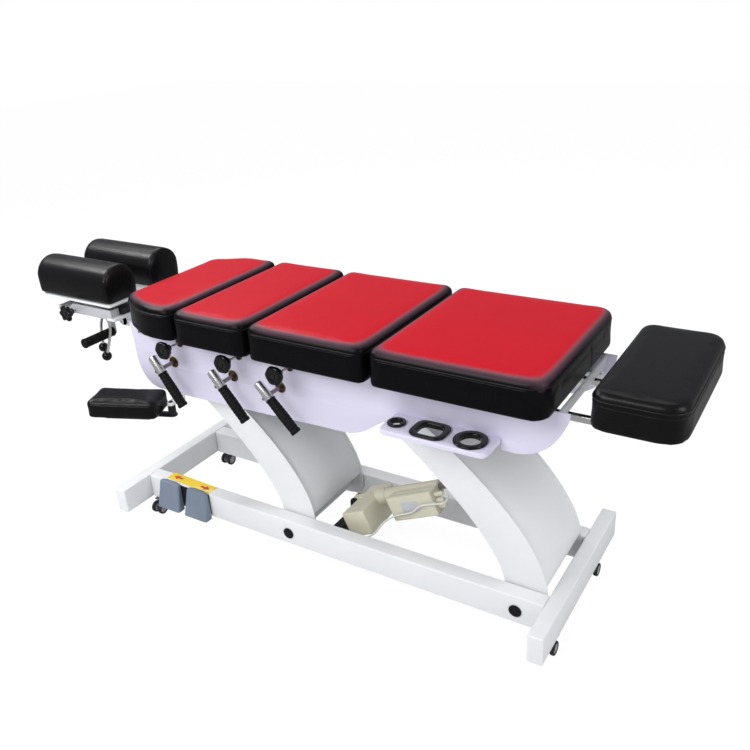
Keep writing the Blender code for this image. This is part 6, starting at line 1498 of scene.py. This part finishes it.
def foot_slide():
    """Two chromed rails with black top strips and end plugs, joined by two flat cross bars."""
    rails, plugs = [], []
    for side in (-1, 1):
        y = side * SLIDE_Y
        rails.append(block("rail", (SLIDE_SPAN[0], y - SLIDE_HALF_WIDTH, SLIDE_LEVELS[0]),
                           (SLIDE_SPAN[1], y + SLIDE_HALF_WIDTH, SLIDE_LEVELS[1]), 0.0022, 4))
        plugs.append(block("plug", (1.0796, y - 0.0063, 0.6782), (1.0830, y + 0.0063, 0.6938),
                           0.0012, 3))
        plugs.append(block("strip", (0.534, y - 0.0062, 0.6944), (1.076, y + 0.0062, 0.6962),
                           0.0006, 3))
    bars = [block("bar", (x - 0.015, -0.123, SLIDE_LEVELS[1]), (x + 0.015, 0.123, 0.7331), 0.0025, 4)
            for x in SLIDE_BARS]
    dress(joined("slide_rails", *rails), "chrome", "foot_section", "foot_slide")
    dress(joined("slide_bars", *bars), "black_steel", "foot_section")
    dress(joined("slide_plugs", *plugs), "gloss", "foot_section")


# Welded upper frame

def welded_frame():
    """Side rails, cross tubes, risers, posts, blocks, lugs, hangers, head bars and the end strip."""
    top, low, outside = 0.692, 0.640, 0.1765
    pieces = []

    def bar(first, last, bevel=0.0015):
        """One square-cut bar with small rounded edges."""
        pieces.append(block("bar", first, last, bevel, 3))

    def pierced(outline, hole, faces, axis="Y"):
        """One flat lug with a round hole."""
        pieces.append(flat_sheet("lug", [outline, hole], *faces, axis, 0.0008))

    for side in (-1, 1):
        inner, outer = span(side, 0.1515, outside)
        bar((-0.655, inner, low), (0.776, outer, top), 0.0030)
        bar((0.770, inner, 0.668), (0.812, outer, top - 0.0002), 0.0028)
        for x in (-0.625, -0.330, 0.060, 0.345, 0.770):
            inner, outer = span(side, 0.1755, 0.1902)
            bar((x - 0.008, inner, 0.658), (x + 0.008, outer, 0.674))
        for left, right in ((-0.500, -0.4016), (-0.349, -0.1163), (-0.0655, 0.286)):
            for x in (left + 0.009, right - 0.009):
                bar((x - 0.009, side * 0.164 - 0.009, top - 0.001),
                    (x + 0.009, side * 0.164 + 0.009, 0.7321))
        inner, outer = span(side, 0.162, 0.168)
        bar((ARM_HINGE[0] - 0.025, inner, 0.470), (ARM_HINGE[0] + 0.025, outer, low + 0.001), 0.001)
        hinge = (ARM_HINGE[0], side * ARM_HINGE[1])
        pierced(capsule((hinge[0], side * 0.175), hinge, 0.013, 20), circle(hinge, 0.0067, 28),
                (0.470, 0.480), "Z")
        inner, outer = span(side, 0.038, 0.046)
        bar((TILT[0], inner, low), (-0.654, outer, 0.680), 0.001)
        pieces.append(flat_sheet("nose", [circle((TILT[0], TILT[2]), 0.022, 40)], inner, outer,
                                 bevel=0.001))
        inner, outer = span(side, 0.155, 0.172)
        bar((0.792, inner, top - 0.001), (0.8105, outer, 0.712))
    for x, high in ((-0.640, 0.6895), (-0.020, 0.6895), (0.660, 0.676)):
        bar((x - 0.015, -0.1525, 0.6425), (x + 0.015, 0.1525, high), 0.0025)
    for x in (UPPER_PIVOT[0], UPPER_PIVOT[0] + PIVOT_SPACING):
        pieces.append(turned("shaft", plain_rod(0.012, 0.0, 0.328), (x, -0.164, UPPER_PIVOT[1]),
                             (0, 1, 0), 32))
    pieces.append(turned("tilt_shaft", plain_rod(0.008, 0.0, 0.086), (TILT[0], -0.043, TILT[2]),
                         (0, 1, 0), 28))
    for x, level in ((0.400, top - 0.001), (0.720, 0.7095)):
        bar((x - 0.020, -outside, level), (x + 0.020, outside, 0.7404), 0.0025)
    for low_y, high_y in ((-outside, -0.1170), (-0.0990, 0.0990), (0.1170, outside)):
        bar((0.701, low_y, top - 0.001), (0.739, high_y, 0.7105))
    for x in KNOB_X:
        plan = rectangle(x - 0.010, x + 0.010, top - 0.001, 0.712)
        pierced(plan, circle((x, KNOB_Z), 0.0044, 24), (-outside, -0.1515))
    for x in LEVER_X:
        plan = rectangle(x - 0.013, x + 0.013, 0.613, 0.641)
        pierced(plan, circle((x, LEVER_Z), 0.0072, 28), (-0.169, -0.159))
    bar((0.808, -0.190, 0.7095), (0.8155, 0.190, 0.7370), 0.002)
    return dress(joined("welded_frame", *pieces), "white", "top", "upper_frame")


# Finishes of the solids that stay

SOLID_LOOKS = {
    "actuator_crossbar": "black_steel", "pedal_bracket": "black_steel",
    "lower_shaft_head": "steel", "lower_shaft_foot": "steel", "chest_plate": "plate",
    "thoracic_plate": "plate", "lumbar_plate": "plate",
}


def finish_solids():
    """Gives each solid that stays its material in every slot."""
    for name, look in SOLID_LOOKS.items():
        solid = bpy.data.objects[name]
        solid.data.materials.clear()
        solid.data.materials.append(LOOKS[look])


# Studio

def camera():
    """The camera at the photograph's place and angle."""
    lens = bpy.data.cameras.new("camera")
    lens.lens = CAMERA_LENS
    lens.sensor_width = SENSOR_WIDTH
    lens.clip_end = 60
    holder = bpy.data.objects.new("camera", lens)
    columns = (Vector(CAMERA_RIGHT), -Vector(CAMERA_DOWN), -Vector(CAMERA_FORWARD))
    turn = Matrix([[column[row] for column in columns] for row in range(3)]).to_4x4()
    holder.matrix_world = Matrix.Translation(CAMERA_PLACE) @ turn
    bpy.context.scene.collection.objects.link(holder)
    bpy.context.scene.camera = holder


def lamp(name, place, target, size, power, colour=(1.0, 1.0, 1.0)):
    """A rectangular soft lamp aimed at a point."""
    light = bpy.data.lights.new(name, "AREA")
    light.shape = "RECTANGLE"
    light.size, light.size_y = size
    light.energy = power
    light.color = colour
    holder = bpy.data.objects.new(name, light)
    heading = Vector(target) - Vector(place)
    turn = heading.to_track_quat("-Z", "Y").to_matrix().to_4x4()
    holder.matrix_world = Matrix.Translation(place) @ turn
    bpy.context.scene.collection.objects.link(holder)
    return holder


def pale_floor():
    """A plain pale floor that shows as white to the camera and still takes a soft shadow."""
    plan = np.array([(-14.0, -14.0, 0.0), (14.0, -14.0, 0.0), (14.0, 14.0, 0.0), (-14.0, 14.0, 0.0)])
    floor = new_piece("studio_floor", plan - (0, 0, 0.0002), [[0, 1, 2, 3]])
    material = bpy.data.materials.new("studio floor")
    material.use_nodes = True
    tree = material.node_tree
    tree.nodes.clear()
    paint = node(tree, "ShaderNodeBsdfDiffuse", {"Color": (0.86, 0.86, 0.865, 1.0)})
    path = node(tree, "ShaderNodeLightPath")
    level = node(tree, "ShaderNodeMapRange", {"Value": path.outputs["Is Camera Ray"],
                                              "To Min": 0.28, "To Max": 1.05})
    glow = node(tree, "ShaderNodeEmission", {"Color": (1.0, 1.0, 1.0, 1.0),
                                             "Strength": level.outputs[0]})
    seen = math_node(tree, "MAXIMUM", path.outputs["Is Camera Ray"], path.outputs["Is Glossy Ray"])
    share = math_node(tree, "MULTIPLY", seen, 0.90)
    mix = node(tree, "ShaderNodeMixShader", {0: share, 1: paint.outputs[0], 2: glow.outputs[0]})
    node(tree, "ShaderNodeOutputMaterial", {"Surface": mix.outputs[0]})
    floor.data.materials.append(material)


def studio():
    """World, lamps, floor and view settings."""
    scene = bpy.context.scene
    world = bpy.data.worlds.new("studio world")
    world.use_nodes = True
    tree = world.node_tree
    tree.nodes.clear()
    path = node(tree, "ShaderNodeLightPath")
    level = node(tree, "ShaderNodeMapRange", {"Value": path.outputs["Is Glossy Ray"],
                                              "To Min": 0.55, "To Max": 0.32})
    soft = node(tree, "ShaderNodeBackground", {"Color": (0.93, 0.95, 1.0, 1.0),
                                               "Strength": level.outputs[0]})
    white = node(tree, "ShaderNodeBackground", {"Color": (1.0, 1.0, 1.0, 1.0), "Strength": 1.0})
    mix = node(tree, "ShaderNodeMixShader", {0: path.outputs["Is Camera Ray"], 1: soft.outputs[0],
                                             2: white.outputs[0]})
    node(tree, "ShaderNodeOutputWorld", {"Surface": mix.outputs[0]})
    scene.world = world
    scene.view_settings.view_transform = "Standard"
    middle = (-0.10, 0.0, 0.55)
    lamp("key_lamp", (-0.7, -3.0, 3.0), middle, (2.6, 1.6), 84)
    lamp("side_lamp", (3.6, -0.4, 2.0), middle, (1.6, 1.8), 40, (1.0, 0.985, 0.965))
    lamp("top_lamp", (0.2, 1.2, 3.8), middle, (3.0, 1.6), 22)
    lamp("gloss_lamp", (-2.9, -0.7, 3.3), middle, (0.8, 0.8), 48)
    lamp("far_lamp", (-2.8, 1.1, 3.3), middle, (3.0, 1.0), 34)
    pale_floor()


camera()
near_skirt()
for arm_name, arm_shift, arm_lugs in (("lift_arm_head", 0.0, False),
                                      ("lift_arm_foot", PIVOT_SPACING, True)):
    lift_arm(arm_name, arm_shift, arm_lugs)
for section_name, lever_x, knob_x in zip(SECTIONS, LEVER_X, KNOB_X):
    cocking_lever(section_name, lever_x)
    grip(section_name, lever_x)
    star_knob(section_name + "_knob", knob_x, KNOB_Y, KNOB_Z, KNOB_ROD_END, KNOB_LOBES)
star_knob("head_knob", *HEAD_KNOB, HEAD_KNOB_ROD_END, HEAD_KNOB_LOBES)
base_tubes()
shaft_caps()
for pedal_name, pedal_x in PEDALS:
    pedal(pedal_name, pedal_x)
pedal_strip()
for caster_place in CASTERS:
    caster(*caster_place)
actuator()
control_case()
control_lead()
welded_frame()
tilt_frame()
carriage()
head_handle()
for ball_lever_place in BALL_LEVERS:
    ball_lever(*ball_lever_place)
for place_name, place_side in SIDES:
    armrest_bar(f"armrest_{place_name}_plate", "armrest_" + place_name, place_side)
foot_slide()
upholster_body()
for place_name, place_side in SIDES:
    head_pad(f"head_{place_name}_cover", "head_cushion_" + place_name, place_side * HEAD_Y)
for place_name, place_side in SIDES:
    arm_pad(f"armrest_{place_name}_cover", "armrest_" + place_name, place_side)
finish_solids()
studio()
